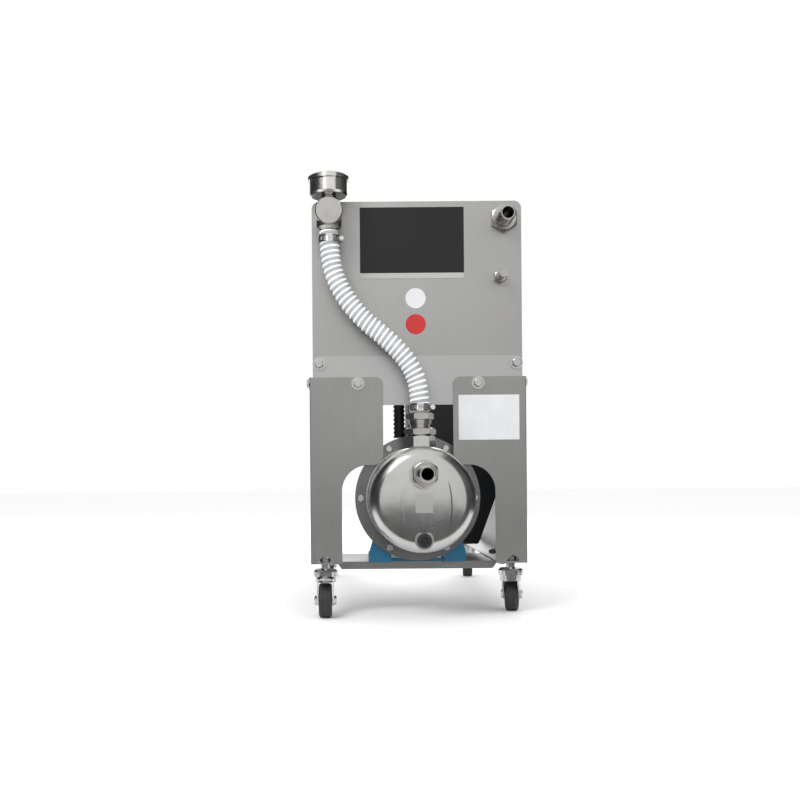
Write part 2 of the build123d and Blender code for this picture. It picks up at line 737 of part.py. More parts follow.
with BuildPart() as pump_body:
    revolve(shell_outline(0), axis=Axis(PUMP_AXIS.origin, PUMP_AXIS.x_dir))
    crowned_hexagon(DISCHARGE_AXIS, DISCHARGE_ROOT_Z, DISCHARGE_TOP_Z, DISCHARGE_FLATS)
    tube(DISCHARGE_AXIS, DISCHARGE_TOP_Z, COLLAR_TOP_Z, COLLAR_R)
    tube(INLET_AXIS, INLET_BOSS_DEPTH, DOME_RIM_DEPTH, INLET_BOSS_R)
    tube(DRAIN_AXIS, DRAIN_BOSS_DEPTH, DOME_RIM_DEPTH + DOME_EDGE_R / 2, DRAIN_BOSS_R)
    with BuildSketch(front_plane(DOME_RIM_DEPTH)):
        with Locations((0, PUMP_Z + DOME_PAD_Z)):
            RectangleRounded(*DOME_PAD, radius=SHELL_WALL)
    extrude(amount=DOME_RIM_DEPTH - DOME_PAD_DEPTH)
    revolve(
        shell_outline(SHELL_WALL),
        axis=Axis(PUMP_AXIS.origin, PUMP_AXIS.x_dir),
        mode=Mode.SUBTRACT,
    )
    tube(PUMP_AXIS, BODY_FLANGE_DEPTH, GASKET_DEPTH, BODY_FLANGE_R, SHELL_R - SHELL_WALL)
    tube(DISCHARGE_AXIS, PUMP_Z, COLLAR_TOP_Z, TAIL_BORE_R, mode=Mode.SUBTRACT)
    inlet_seat = INLET_BOSS_DEPTH + INLET_SPIGOT + FIT
    tube(INLET_AXIS, INLET_BOSS_DEPTH, inlet_seat, SPIGOT_R + FIT, mode=Mode.SUBTRACT)
    tube(INLET_AXIS, inlet_seat, 0, NIPPLE_BORE_R, mode=Mode.SUBTRACT)
    tube(DRAIN_AXIS, DRAIN_BOSS_DEPTH, 0, DRAIN_THREAD_R + FIT, mode=Mode.SUBTRACT)
    drill_bolt_circle()
write(pump_body, "pump_body")

with BuildPart() as clamp_ring:
    tube(PUMP_AXIS, CLAMP_DEPTH, BODY_FLANGE_DEPTH, CLAMP_RING_R, CLAMP_RING_BORE_R)
    drill_bolt_circle()
write(clamp_ring, "clamp_ring")

with BuildPart() as gasket:
    tube(PUMP_AXIS, GASKET_DEPTH, SEAL_DEPTH, BODY_FLANGE_R, SHELL_R)
    drill_bolt_circle()
write(gasket, "gasket")

with BuildPart() as seal_plate:
    tube(PUMP_AXIS, SEAL_DEPTH, LANTERN_DEPTH, BODY_FLANGE_R, LANTERN_BORE_R)
    drill_bolt_circle()
write(seal_plate, "seal_plate")

with BuildPart() as clamp_bolts:
    for step in range(CLAMP_BOLTS):
        angle = math.radians(360 / CLAMP_BOLTS * step)
        place = (BOLT_CIRCLE_R * math.cos(angle), PUMP_Z + BOLT_CIRCLE_R * math.sin(angle))
        plain_bolt(depth_axis(*place), CLAMP_DEPTH, LANTERN_BACK - CLAMP_DEPTH)
write(clamp_bolts, "clamp_bolts")

with BuildPart() as inlet_adapter:
    hex_front = INLET_BOSS_DEPTH - INLET_HEX
    crowned_hexagon(INLET_AXIS, hex_front, INLET_BOSS_DEPTH, INLET_FLATS)
    tube(INLET_AXIS, INLET_MOUTH_DEPTH, hex_front, NIPPLE_R)
    tube(INLET_AXIS, INLET_BOSS_DEPTH, INLET_BOSS_DEPTH + INLET_SPIGOT, SPIGOT_R)
    tube(INLET_AXIS, INLET_MOUTH_DEPTH, inlet_seat, NIPPLE_BORE_R, mode=Mode.SUBTRACT)
write(inlet_adapter, "inlet_adapter")

with BuildPart() as drain_plug:
    head_front = DRAIN_BOSS_DEPTH - DRAIN_HEAD
    tube(DRAIN_AXIS, head_front, DRAIN_BOSS_DEPTH, DRAIN_HEAD_R)
    tube(DRAIN_AXIS, DRAIN_BOSS_DEPTH, DRAIN_BOSS_DEPTH + DRAIN_THREAD, DRAIN_THREAD_R)
    hexagon(DRAIN_AXIS, head_front, head_front + DRAIN_SOCKET, DRAIN_FLATS, mode=Mode.SUBTRACT)
write(drain_plug, "drain_plug")

# ---- Discharge: union nut and the hose tail it holds ---------------------------------------
with BuildPart() as union_nut:
    crowned_hexagon(DISCHARGE_AXIS, DISCHARGE_TOP_Z, UNION_TOP_Z, UNION_FLATS)
    tube(DISCHARGE_AXIS, DISCHARGE_TOP_Z, UNION_TOP_Z, COLLAR_R + FIT, mode=Mode.SUBTRACT)
write(union_nut, "union_nut")

with BuildPart() as lower_hose_tail:
    tube(DISCHARGE_AXIS, COLLAR_TOP_Z, TAIL_RING_Z[0], COLLAR_R)
    tube(DISCHARGE_AXIS, *TAIL_RING_Z, TAIL_RING_R)
    crowned_hexagon(DISCHARGE_AXIS, *TAIL_HEX_Z, TAIL_HEX_FLATS)
    tube(DISCHARGE_AXIS, HOSE_BOTTOM_Z, HOSE_BOTTOM_Z + BARB_LENGTH, BARB_R)
    tube(
        DISCHARGE_AXIS,
        COLLAR_TOP_Z,
        HOSE_BOTTOM_Z + BARB_LENGTH,
        TAIL_BORE_R,
        mode=Mode.SUBTRACT,
    )
write(lower_hose_tail, "lower_hose_tail")

# ---- Hose: straight off the upper tail, one long double bend, straight onto the lower tail --
HOSE_ROUTE = [
    (INLET_BLOCK_X, HOSE_TOP_Z),
    (INLET_BLOCK_X, 600.0),
    (-134.5, 551.0),
    (-101.0, 501.0),
    (-47.0, 456.5),
    (-15.5, 420.0),
    (0.0, 380.0),
    (0.0, HOSE_BOTTOM_Z),
]
FILLET_SHARE = 0.45


def fillet_radii(route):
    """The largest smooth radius at each inner corner of a route."""
    radii = []
    for before, here, after in zip(route, route[1:], route[2:]):
        into = Vector(*here) - Vector(*before)
        out = Vector(*after) - Vector(*here)
        turn_angle = into.get_angle(out)
        half_turn = math.radians(turn_angle / 2)
        radii.append(FILLET_SHARE * min(into.length, out.length) / math.tan(half_turn))
    return radii


hose_radii = fillet_radii(HOSE_ROUTE)
hose_plane = front_plane(FITTING_DEPTH)
with BuildPart() as hose:
    with BuildLine(hose_plane) as hose_path:
        FilletPolyline(*HOSE_ROUTE, radius=hose_radii)
    with BuildSketch(Plane(hose_path.line @ 0, z_dir=hose_path.line % 0)):
        Circle(HOSE_R)
        Circle(HOSE_BORE_R, mode=Mode.SUBTRACT)
    sweep()
write(hose, "hose")
hose_length = hose_path.wire().length
hose_section = math.pi * (HOSE_R**2 - HOSE_BORE_R**2)
print("hose bend radii", [round(radius, 1) for radius in hose_radii])
print("hose length", round(hose_length, 1))
print("hose volume over section times length", hose.part.volume / (hose_section * hose_length))


def hose_clamp(axis_plane, height):
    """A worm-drive band round the hose with its screw housing on the right."""
    low, high = height - BAND_WIDTH / 2, height + BAND_WIDTH / 2
    outer = HOSE_R + FIT + BAND
    tube(axis_plane, low, high, outer, HOSE_R + FIT)
    worm = depth_axis(axis_plane.origin.X + outer + WORM_R - BAND, height)
    front = FITTING_DEPTH - WORM_LENGTH / 2
    tube(worm, front, front + WORM_LENGTH, WORM_R)
    crowned_hexagon(worm, front - WORM_HEX, front, WORM_FLATS)
    tube(axis_plane, low, high, HOSE_R + FIT, mode=Mode.SUBTRACT)


with BuildPart() as hose_clamps:
    hose_clamp(GAUGE_AXIS, UPPER_BAND_Z)
    hose_clamp(DISCHARGE_AXIS, LOWER_BAND_Z)
write(hose_clamps, "hose_clamps")

# ---- Inlet block and the hose tail under it -------------------------------------------------
with BuildPart() as inlet_block:
    turn(
        BLOCK_AXIS,
        (BLOCK_FRONT_DEPTH, 0),
        (BLOCK_FRONT_DEPTH, BLOCK_R - BLOCK_CHAMFER),
        (BLOCK_FRONT_DEPTH + BLOCK_CHAMFER, BLOCK_R),
        (HEAD_DEPTH, BLOCK_R),
        (HEAD_DEPTH, 0),
    )
    tube(BLOCK_AXIS, HEAD_DEPTH, HEAD_DEPTH + HEADER_SPIGOT, HEADER_SPIGOT_R)
    tube(GAUGE_AXIS, BLOCK_BOTTOM_Z, PORT_Z, BLOCK_PORT_R)
    crowned_hexagon(GAUGE_AXIS, PORT_Z, BLOCK_TOP_Z, GAUGE_STEM_FLATS)
    block_bore_front = FITTING_DEPTH - TAIL_BORE_R
    tube(
        BLOCK_AXIS, block_bore_front, HEAD_DEPTH + HEADER_SPIGOT, TAIL_BORE_R, mode=Mode.SUBTRACT
    )
    tube(GAUGE_AXIS, BLOCK_BOTTOM_Z, PORT_Z, TAIL_BORE_R, mode=Mode.SUBTRACT)
write(inlet_block, "inlet_block")

with BuildPart() as upper_hose_tail:
    turn(
        GAUGE_AXIS,
        (BLOCK_BOTTOM_Z, 0),
        (BLOCK_BOTTOM_Z, BLOCK_PORT_R),
        (HOSE_TOP_Z, UPPER_TAIL_R),
        (HOSE_TOP_Z, BARB_R),
        (HOSE_TOP_Z - BARB_LENGTH, BARB_R),
        (HOSE_TOP_Z - BARB_LENGTH, 0),
    )
    tube(
        GAUGE_AXIS, HOSE_TOP_Z - BARB_LENGTH, BLOCK_BOTTOM_Z, TAIL_BORE_R, mode=Mode.SUBTRACT
    )
write(upper_hose_tail, "upper_hose_tail")

# ---- Pressure gauge, facing up ---------------------------------------------------------------
with BuildPart() as gauge_case:
    turn(
        GAUGE_AXIS,
        (GAUGE_BASE_Z, 0),
        (GAUGE_BASE_Z, GAUGE_BASE_R),
        (GAUGE_BASE_CHAMFER_Z, GAUGE_R),
        (GAUGE_RIM_Z, GAUGE_R),
        (GAUGE_RIM_Z, GAUGE_BORE_R),
        (DIAL_Z, GAUGE_BORE_R),
        (DIAL_Z, DIAL_LEDGE_R),
        (GAUGE_FLOOR_Z, GAUGE_BASE_R - GAUGE_WALL),
        (GAUGE_FLOOR_Z, 0),
    )
    crowned_hexagon(GAUGE_AXIS, BLOCK_TOP_Z, GAUGE_BASE_Z, GAUGE_STEM_FLATS)
write(gauge_case, "gauge_case")

with BuildPart() as gauge_dial:
    tube(GAUGE_AXIS, DIAL_Z, DIAL_Z + DIAL, DIAL_R, POINTER_PIN_R + FIT)
write(gauge_dial, "gauge_dial")

with BuildPart() as gauge_lens:
    tube(GAUGE_AXIS, GAUGE_RIM_Z, GAUGE_RIM_Z + LENS, GAUGE_R)
write(gauge_lens, "gauge_lens")

with BuildPart() as gauge_bezel:
    turn(
        GAUGE_AXIS,
        (BEZEL_BOTTOM_Z, GAUGE_R + FIT),
        (BEZEL_BOTTOM_Z, BEZEL_R),
        (BEZEL_TOP_Z - BEZEL_ROUND, BEZEL_R),
        (BEZEL_TOP_Z, BEZEL_R - BEZEL_ROUND),
        (BEZEL_TOP_Z, BEZEL_LIP_R),
        (GAUGE_RIM_Z + LENS, BEZEL_LIP_R),
        (GAUGE_RIM_Z + LENS, GAUGE_R + FIT),
    )
write(gauge_bezel, "gauge_bezel")

with BuildPart() as gauge_pointer:
    pointer_plane = Plane(
        origin=(GAUGE_AXIS.origin.X, GAUGE_AXIS.origin.Y, POINTER_Z), z_dir=(0, 0, 1)
    ).rotated((0, 0, POINTER_REST_ANGLE))
    with BuildSketch(pointer_plane):
        with BuildLine():
            Polyline(
                (-POINTER_TAIL, -POINTER_WIDTH / 2),
                (POINTER_LENGTH, -POINTER_TIP / 2),
                (POINTER_LENGTH, POINTER_TIP / 2),
                (-POINTER_TAIL, POINTER_WIDTH / 2),
                close=True,
            )
        make_face()
        Circle(POINTER_HUB_R)
    extrude(amount=POINTER)
    tube(GAUGE_AXIS, POINTER_PIN_Z, POINTER_Z, POINTER_PIN_R)
write(gauge_pointer, "gauge_pointer")

# ---- Delivery nipple, its locknut, the vent valve and the header behind the plate ------------
with BuildPart() as outlet_nipple:
    tube(OUTLET_AXIS, OUTLET_MOUTH_DEPTH, HEAD_DEPTH - LOCKNUT, NIPPLE_R)
    tube(OUTLET_AXIS, HEAD_DEPTH - LOCKNUT, HEAD_DEPTH, LOCKNUT_BORE_R - FIT)
    tube(OUTLET_AXIS, HEAD_DEPTH, HEAD_DEPTH + HEADER_SPIGOT, HEADER_SPIGOT_R)
    tube(
        OUTLET_AXIS,
        OUTLET_MOUTH_DEPTH,
        HEAD_DEPTH + HEADER_SPIGOT,
        NIPPLE_BORE_R,
        mode=Mode.SUBTRACT,
    )
write(outlet_nipple, "outlet_nipple")

with BuildPart() as outlet_locknut:
    crowned_hexagon(OUTLET_AXIS, HEAD_DEPTH - LOCKNUT, HEAD_DEPTH, LOCKNUT_FLATS)
    tube(OUTLET_AXIS, HEAD_DEPTH - LOCKNUT, HEAD_DEPTH, LOCKNUT_BORE_R, mode=Mode.SUBTRACT)
write(outlet_locknut, "outlet_locknut")

with BuildPart() as vent_body:
    crowned_hexagon(VENT_AXIS, HEAD_DEPTH - VENT_HEX, HEAD_DEPTH, VENT_FLATS)
    tube(VENT_AXIS, VENT_BARREL_DEPTH, HEAD_DEPTH + HEADER_SPIGOT, VENT_BARREL_R)
    tube(
        VENT_AXIS,
        VENT_BARREL_DEPTH,
        HEAD_DEPTH + HEADER_SPIGOT,
        VENT_SPINDLE_R + FIT,
        mode=Mode.SUBTRACT,
    )
write(vent_body, "vent_body")

with BuildPart() as vent_knob:
    tube(VENT_AXIS, *VENT_KNOB_DEPTHS, VENT_KNOB_R)
    tube(
        VENT_AXIS, VENT_KNOB_DEPTHS[1], VENT_KNOB_DEPTHS[1] + VENT_SPINDLE, VENT_SPINDLE_R
    )
write(vent_knob, "vent_knob")

HEADER_AXIS = across_axis(HEADER_DEPTH, PORT_Z)
BRANCH_AXIS = upright_axis(VENT_X, HEADER_DEPTH)
with BuildPart() as delivery_header:
    header_ends = (INLET_BLOCK_X - HEADER_OVERHANG, OUTLET_X + HEADER_OVERHANG)
    branch_bottom = VENT_Z - BRANCH_BELOW_VENT
    wall = HEADER_R - HEADER_BORE_R
    tube(HEADER_AXIS, *header_ends, HEADER_R)
    tube(BRANCH_AXIS, branch_bottom, PORT_Z, BRANCH_R)
    tube(BLOCK_AXIS, HEAD_BACK, HEADER_DEPTH, STUB_R)
    tube(OUTLET_AXIS, HEAD_BACK, HEADER_DEPTH, STUB_R)
    tube(VENT_AXIS, HEAD_BACK, HEADER_DEPTH, VENT_STUB_R)
    tube(
        HEADER_AXIS, header_ends[0] + wall, header_ends[1] - wall, HEADER_BORE_R,
        mode=Mode.SUBTRACT,
    )
    tube(BRANCH_AXIS, branch_bottom + wall, PORT_Z, BRANCH_BORE_R, mode=Mode.SUBTRACT)
    for stub_axis in (BLOCK_AXIS, OUTLET_AXIS):
        tube(stub_axis, HEAD_BACK, HEADER_DEPTH, HEADER_SPIGOT_R + FIT, mode=Mode.SUBTRACT)
    tube(VENT_AXIS, HEAD_BACK, HEADER_DEPTH, VENT_SPIGOT_R + FIT, mode=Mode.SUBTRACT)
write(delivery_header, "delivery_header")

# ---- Lantern, foot and motor -------------------------------------------------------------------
with BuildPart() as lantern:
    tube(PUMP_AXIS, LANTERN_DEPTH, LANTERN_BACK, BODY_FLANGE_R, LANTERN_BORE_R)
    turn(
        PUMP_AXIS,
        (LANTERN_BACK, SHELL_R - SHELL_WALL),
        (MOTOR_FRONT_DEPTH, BARREL_R),
        (MOTOR_FRONT_DEPTH, BARREL_BORE_R),
        (LANTERN_BACK, BARREL_BORE_R + SHEET),
    )
    tube(PUMP_AXIS, LANTERN_BACK, FRONT_BEARING_DEPTH + BEARING_WIDTH, LANTERN_HUB_R, BEARING_R)
    drill_bolt_circle()
write(lantern, "lantern")

with BuildPart() as foot:
    with BuildSketch(front_plane(LANTERN_DEPTH)):
        with BuildLine():
            Polyline(
                (-FOOT_X, FLANGE_Z),
                (-FOOT_X, FOOT_LUG_TOP_Z),
                (-FOOT_TOP_X, FOOT_TOP_Z),
                (FOOT_TOP_X, FOOT_TOP_Z),
                (FOOT_X, FOOT_LUG_TOP_Z),
                (FOOT_X, FLANGE_Z),
                close=True,
            )
        make_face()
        with Locations((0, (FLANGE_Z + FOOT_TOP_Z) / 2)):
            Rectangle(2 * FOOT_ARCH_X, FOOT_TOP_Z - FLANGE_Z, mode=Mode.SUBTRACT)
    extrude(amount=-LANTERN_FLANGE)
    with BuildSketch(front_plane(LANTERN_BACK)):
        with Locations((0, (FLANGE_Z + FOOT_LUG_TOP_Z) / 2)):
            Rectangle(2 * FOOT_X, FOOT_LUG_TOP_Z - FLANGE_Z)
    extrude(amount=-(FOOT_BACK_DEPTH - LANTERN_BACK))
    sheet_rectangle(
        front_plane(LANTERN_BACK),
        (-FOOT_ARCH_X, FLANGE_Z + FOOT_WEB),
        (FOOT_ARCH_X, FOOT_LUG_TOP_Z),
        -(FOOT_BACK_DEPTH - LANTERN_BACK),
        mode=Mode.SUBTRACT,
    )
    tube(PUMP_AXIS, LANTERN_DEPTH, LANTERN_BACK, BODY_FLANGE_R, mode=Mode.SUBTRACT)
    holes(level_plane(FLANGE_Z), foot_bolt_places, M8_HOLE_R, FOOT_TOP_Z - FLANGE_Z)
write(foot, "foot")

with BuildPart() as motor_frame:
    tube(PUMP_AXIS, MOTOR_FRONT_DEPTH, MOTOR_BACK_DEPTH, BARREL_R, BARREL_BORE_R)
    with BuildSketch(front_plane(MOTOR_FRONT_DEPTH)):
        with Locations((0, PUMP_Z)):
            with PolarLocations((BARREL_R + FIN_R) / 2 - SHEET / 2, FINS):
                Rectangle(FIN_R - BARREL_R + SHEET, FIN_WIDTH)
    extrude(amount=-(MOTOR_BACK_DEPTH - MOTOR_FRONT_DEPTH))
write(motor_frame, "motor_frame")

with BuildPart() as stator:
    tube(PUMP_AXIS, *STATOR_DEPTHS, BARREL_BORE_R, ROTOR_R + GAP)
write(stator, "stator")

with BuildPart() as motor_rotor:
    tube(PUMP_AXIS, *ROTOR_DEPTHS, ROTOR_R)
    tube(PUMP_AXIS, *SHAFT_DEPTHS, SHAFT_R)
write(motor_rotor, "motor_rotor")

with BuildPart() as bearings:
    for bearing_depth in (FRONT_BEARING_DEPTH, REAR_BEARING_DEPTH):
        tube(PUMP_AXIS, bearing_depth, bearing_depth + BEARING_WIDTH, BEARING_R, SHAFT_R + FIT)
write(bearings, "bearings")

with BuildPart() as end_shield:
    tube(
        PUMP_AXIS, MOTOR_BACK_DEPTH, MOTOR_BACK_DEPTH + END_SHIELD, BARREL_R, SHAFT_R + GAP
    )
    tube(PUMP_AXIS, REAR_BEARING_DEPTH, MOTOR_BACK_DEPTH, LANTERN_HUB_R, BEARING_R)
write(end_shield, "end_shield")

with BuildPart() as fan:
    tube(PUMP_AXIS, *FAN_DEPTHS, FAN_HUB_R)
    with BuildSketch(front_plane(FAN_DEPTHS[0])):
        with Locations((0, PUMP_Z)):
            with PolarLocations((FAN_HUB_R + FAN_R) / 2 - SHEET / 2, FAN_BLADES):
                Rectangle(FAN_R - FAN_HUB_R + SHEET, FAN_BLADE)
    extrude(amount=-(FAN_DEPTHS[1] - FAN_DEPTHS[0]))
    tube(PUMP_AXIS, *FAN_DEPTHS, SHAFT_R, mode=Mode.SUBTRACT)
write(fan, "fan")

with BuildPart() as fan_cover:
    cover_front = MOTOR_BACK_DEPTH
    tube(PUMP_AXIS, cover_front, COVER_BACK_DEPTH, COVER_R)
    tube(
        PUMP_AXIS, cover_front, COVER_BACK_DEPTH - COVER_WALL, COVER_R - COVER_WALL,
        mode=Mode.SUBTRACT,
    )
    tube(
        PUMP_AXIS, cover_front, cover_front + END_SHIELD, COVER_R - COVER_WALL, BARREL_R
    )
    with BuildSketch(front_plane(COVER_BACK_DEPTH)):
        with Locations((0, PUMP_Z)):
            for ring_r in VENT_RING_RADII:
                count = int(2 * math.pi * ring_r / (VENT_HOLE_R * 3))
                with PolarLocations(ring_r, count):
                    Circle(VENT_HOLE_R)
    extrude(amount=COVER_WALL, mode=Mode.SUBTRACT)
write(fan_cover, "fan_cover")

# ---- Impeller, diffuser and ejector ------------------------------------------------
with BuildPart() as impeller:
    front, back = IMPELLER_DEPTHS
    tube(PUMP_AXIS, back - IMPELLER_DISC, back, IMPELLER_R)
    tube(PUMP_AXIS, front, front + IMPELLER_DISC, IMPELLER_R, IMPELLER_EYE_R)
    tube(PUMP_AXIS, front, back, IMPELLER_HUB_R)
    with BuildSketch(front_plane(front)):
        with Locations((0, PUMP_Z)):
            with PolarLocations((IMPELLER_HUB_R + IMPELLER_R) / 2 - SHEET / 2, VANES):
                Rectangle(IMPELLER_R - IMPELLER_HUB_R, VANE)
    extrude(amount=-(back - front))
    tube(PUMP_AXIS, front, back, SHAFT_R, mode=Mode.SUBTRACT)
write(impeller, "impeller")

with BuildPart() as diffuser:
    tube(PUMP_AXIS, *DIFFUSER_DEPTHS, DIFFUSER_R, DIFFUSER_R - DIFFUSER_WALL)
    diffuser_front = DIFFUSER_DEPTHS[0]
    tube(PUMP_AXIS, diffuser_front, diffuser_front + DIFFUSER_WALL, DIFFUSER_R, EJECTOR_BORE_R)
write(diffuser, "diffuser")

with BuildPart() as ejector:
    turn(
        PUMP_AXIS,
        (EJECTOR_NOSE_DEPTH, EJECTOR_THROAT_R),
        (EJECTOR_NOSE_DEPTH, EJECTOR_NOSE_R),
        (diffuser_front, EJECTOR_R),
        (diffuser_front, EJECTOR_BORE_R),
    )
write(ejector, "ejector")

# ---- Terminal box with its cable gland ----------------------------------------------------------
with BuildPart() as terminal_box:
    front, back = TERMINAL_DEPTHS
    centre = (sum(TERMINAL_X) / 2, (front + back) / 2)
    size = (TERMINAL_X[1] - TERMINAL_X[0], back - front)
    with BuildSketch(level_plane(TERMINAL_Z[0])):
        with Locations(centre):
            RectangleRounded(*size, radius=TERMINAL_CORNER_R)
    extrude(amount=TERMINAL_Z[1] - TERMINAL_Z[0])
    with BuildSketch(level_plane(TERMINAL_Z[0] + TERMINAL_WALL)):
        with Locations(centre):
            RectangleRounded(
                size[0] - 2 * TERMINAL_WALL,
                size[1] - 2 * TERMINAL_WALL,
                radius=TERMINAL_CORNER_R - TERMINAL_WALL,
            )
    extrude(amount=TERMINAL_Z[1] - TERMINAL_Z[0], mode=Mode.SUBTRACT)
    sheet_rectangle(
        level_plane(SADDLE_BOTTOM_Z),
        (SADDLE_X[0], SADDLE_DEPTHS[0]),
        (SADDLE_X[1], SADDLE_DEPTHS[1]),
        TERMINAL_Z[0] - SADDLE_BOTTOM_Z,
    )
    tube(PUMP_AXIS, MOTOR_FRONT_DEPTH, MOTOR_BACK_DEPTH, FIN_R + FIT, mode=Mode.SUBTRACT)
write(terminal_box, "terminal_box")

with BuildPart() as terminal_lid:
    with BuildSketch(level_plane(TERMINAL_Z[1])):
        with Locations(centre):
            RectangleRounded(*size, radius=TERMINAL_CORNER_R)
    extrude(amount=TERMINAL_LID)
    chamfer(terminal_lid.faces().sort_by(Axis.Z)[-1].edges(), length=SHEET)
write(terminal_lid, "terminal_lid")

with BuildPart() as cable_gland:
    gland_axis = upright_axis(GLAND_X, GLAND_DEPTH)
    tube(gland_axis, *GLAND_Z, GLAND_GROOVE_R)
    rib_pitch = (GLAND_Z[1] - GLAND_Z[0]) / GLAND_RIBS
    for rib in range(GLAND_RIBS):
        rib_z = GLAND_Z[0] + rib * rib_pitch
        tube(gland_axis, rib_z, rib_z + rib_pitch / 2, GLAND_R)
    tube(across_axis(GLAND_DEPTH, GLAND_ARM_Z), GLAND_X, TERMINAL_X[0], GLAND_ARM_R)
    tube(gland_axis, GLAND_Z[1] - GLAND_BORE, GLAND_Z[1], GLAND_BORE_R, mode=Mode.SUBTRACT)
write(cable_gland, "cable_gland")

# ---- Control box on the right wall, with its rocker switch at the back -----------------------------
with BuildPart() as control_box:
    control_front, control_back = CONTROL_DEPTHS
    with BuildSketch(front_plane(control_front)) as outline:
        with BuildLine():
            Polyline(
                (CONTROL_X[0], CONTROL_Z[0]),
                (CONTROL_X[0], CONTROL_Z[1]),
                (CONTROL_X[1], CONTROL_Z[1]),
                (CONTROL_X[1], CONTROL_SLOPE[1]),
                (CONTROL_SLOPE[0], CONTROL_Z[0]),
                close=True,
            )
        make_face()
        fillet(outline.vertices(), radius=CONTROL_CORNER_R)
    extrude(amount=-(control_back - control_front))
    cavity = offset(outline.sketch, amount=-CONTROL_WALL, mode=Mode.PRIVATE)
    extrude(
        cavity.moved(Location((0, CONTROL_WALL, 0))),
        amount=-(control_back - control_front - 2 * CONTROL_WALL),
        mode=Mode.SUBTRACT,
    )
    for depth, z in SPACERS:
        tube(across_axis(depth, z), CONTROL_X[1], HALF_WIDTH - SHEET, SPACER_R)
    with BuildSketch(front_plane(control_back)):
        with Locations(SWITCH_CENTRE):
            Rectangle(*SWITCH_FRAME)
    extrude(amount=-SWITCH_FRAME_DEPTH)
    with BuildSketch(front_plane(control_back - CONTROL_WALL)):
        with Locations(SWITCH_CENTRE):
            Rectangle(ROCKER[0] + 2 * SWITCH_GAP, ROCKER[1] + 2 * SWITCH_GAP)
    extrude(amount=-(CONTROL_WALL + SWITCH_FRAME_DEPTH), mode=Mode.SUBTRACT)
    pin_axis = across_axis(control_back + SWITCH_FRAME_DEPTH / 2, SWITCH_CENTRE[1])
    pin_reach = ROCKER[0] / 2 + SWITCH_GAP + ROCKER_PIN_REACH
    tube(
        pin_axis,
        SWITCH_CENTRE[0] - pin_reach - GAP,
        SWITCH_CENTRE[0] + pin_reach + GAP,
        ROCKER_PIN_R + FIT,
        mode=Mode.SUBTRACT,
    )
write(control_box, "control_box")

with BuildPart() as switch_rocker:
    with BuildSketch(front_plane(control_back)):
        with Locations(SWITCH_CENTRE):
            Rectangle(*ROCKER)
    extrude(amount=-(SWITCH_FRAME_DEPTH + ROCKER_DEPTH / 2))
    tube(pin_axis, SWITCH_CENTRE[0] - pin_reach, SWITCH_CENTRE[0] + pin_reach, ROCKER_PIN_R)
write(switch_rocker, "switch_rocker")

# ---- Casters ----------------------------------------------------------------------------------------
CASTER_PLACES = {
    name: (side * CASTER_X, CASTER_DEPTHS[row]) for name, (side, row, angle) in CASTERS.items()
}
with BuildPart() as caster_stems:
    for x, depth in CASTER_PLACES.values():
        stem_axis = upright_axis(x, depth)
        flange_top = FLANGE_Z + SHEET
        nut_top = flange_top + STEM_NUT
        turn(
            stem_axis,
            (DISH_Z[0], 0),
            (DISH_Z[0], DISH_R),
            (DISH_Z[1] - DISH_ROUND, DISH_R),
            (DISH_Z[1], DISH_R - DISH_ROUND),
            (DISH_Z[1], 0),
        )
        tube(stem_axis, DISH_Z[1], FLANGE_Z, STEM_NECK_R)
        tube(stem_axis, FLANGE_Z, nut_top + STEM_PAST_NUT, STEM_R)
        crowned_hexagon(stem_axis, flange_top, nut_top, STEM_NUT_FLATS)
        tube(stem_axis, KINGPIN_HEAD_Z[0], DISH_Z[0], KINGPIN_R)
        tube(stem_axis, *KINGPIN_HEAD_Z, KINGPIN_HEAD_R)
write(caster_stems, "caster_stems")

CHEEK_INNER = WHEEL_WIDTH / 2 + CHEEK_GAP


def place_caster(pieces, name):
    """A caster piece made at the origin and trailing along +Y, turned and put on its stem."""
    x, depth = CASTER_PLACES[name]
    angle = CASTERS[name][2]
    return pieces.moved(Location((x, FRONT_Y + depth, 0), (0, 0, angle)))


with BuildPart() as fork_shape:
    trail_side = Plane(origin=(0, 0, 0), x_dir=(0, 1, 0), z_dir=(1, 0, 0))
    stem = Plane(origin=(0, 0, 0), x_dir=(0, 0, 1), z_dir=(0, -1, 0))
    axle_axis = Plane(origin=(0, CASTER_TRAIL, WHEEL_R), x_dir=(1, 0, 0), z_dir=(0, -1, 0))
    pivot_axis = Plane(origin=(0, LEVER_PIVOT, LEVER_PIVOT_Z), x_dir=(1, 0, 0), z_dir=(0, -1, 0))
    for side in (-1, 1):
        with BuildSketch(trail_side.offset(side * CHEEK_INNER)):
            with Locations((CASTER_TRAIL, WHEEL_R)):
                Circle(AXLE_BOSS_R)
            with Locations((0, SWIVEL_Z[0] - CHEEK_GAP)):
                Circle(AXLE_BOSS_R)
            with Locations((LEVER_PIVOT, LEVER_PIVOT_Z)):
                Circle(LEVER_EAR_R)
            make_hull()
        extrude(amount=side * CHEEK)
    tube(stem, *SWIVEL_Z, SWIVEL_R)
    tube(stem, 0, SWIVEL_Z[1] - SWIVEL_ROOF, SWIVEL_POCKET_R, mode=Mode.SUBTRACT)
    tube(stem, 0, SWIVEL_Z[1], KINGPIN_R + FIT, mode=Mode.SUBTRACT)
    outer_cheek = CHEEK_INNER + CHEEK
    tube(axle_axis, -outer_cheek, outer_cheek, AXLE_R)
    for side in (-1, 1):
        nut_span = sorted((side * outer_cheek, side * (outer_cheek + AXLE_NUT)))
        crowned_hexagon(axle_axis, *nut_span, AXLE_NUT_FLATS)
    tube(pivot_axis, -outer_cheek, outer_cheek, LEVER_PIN_R)

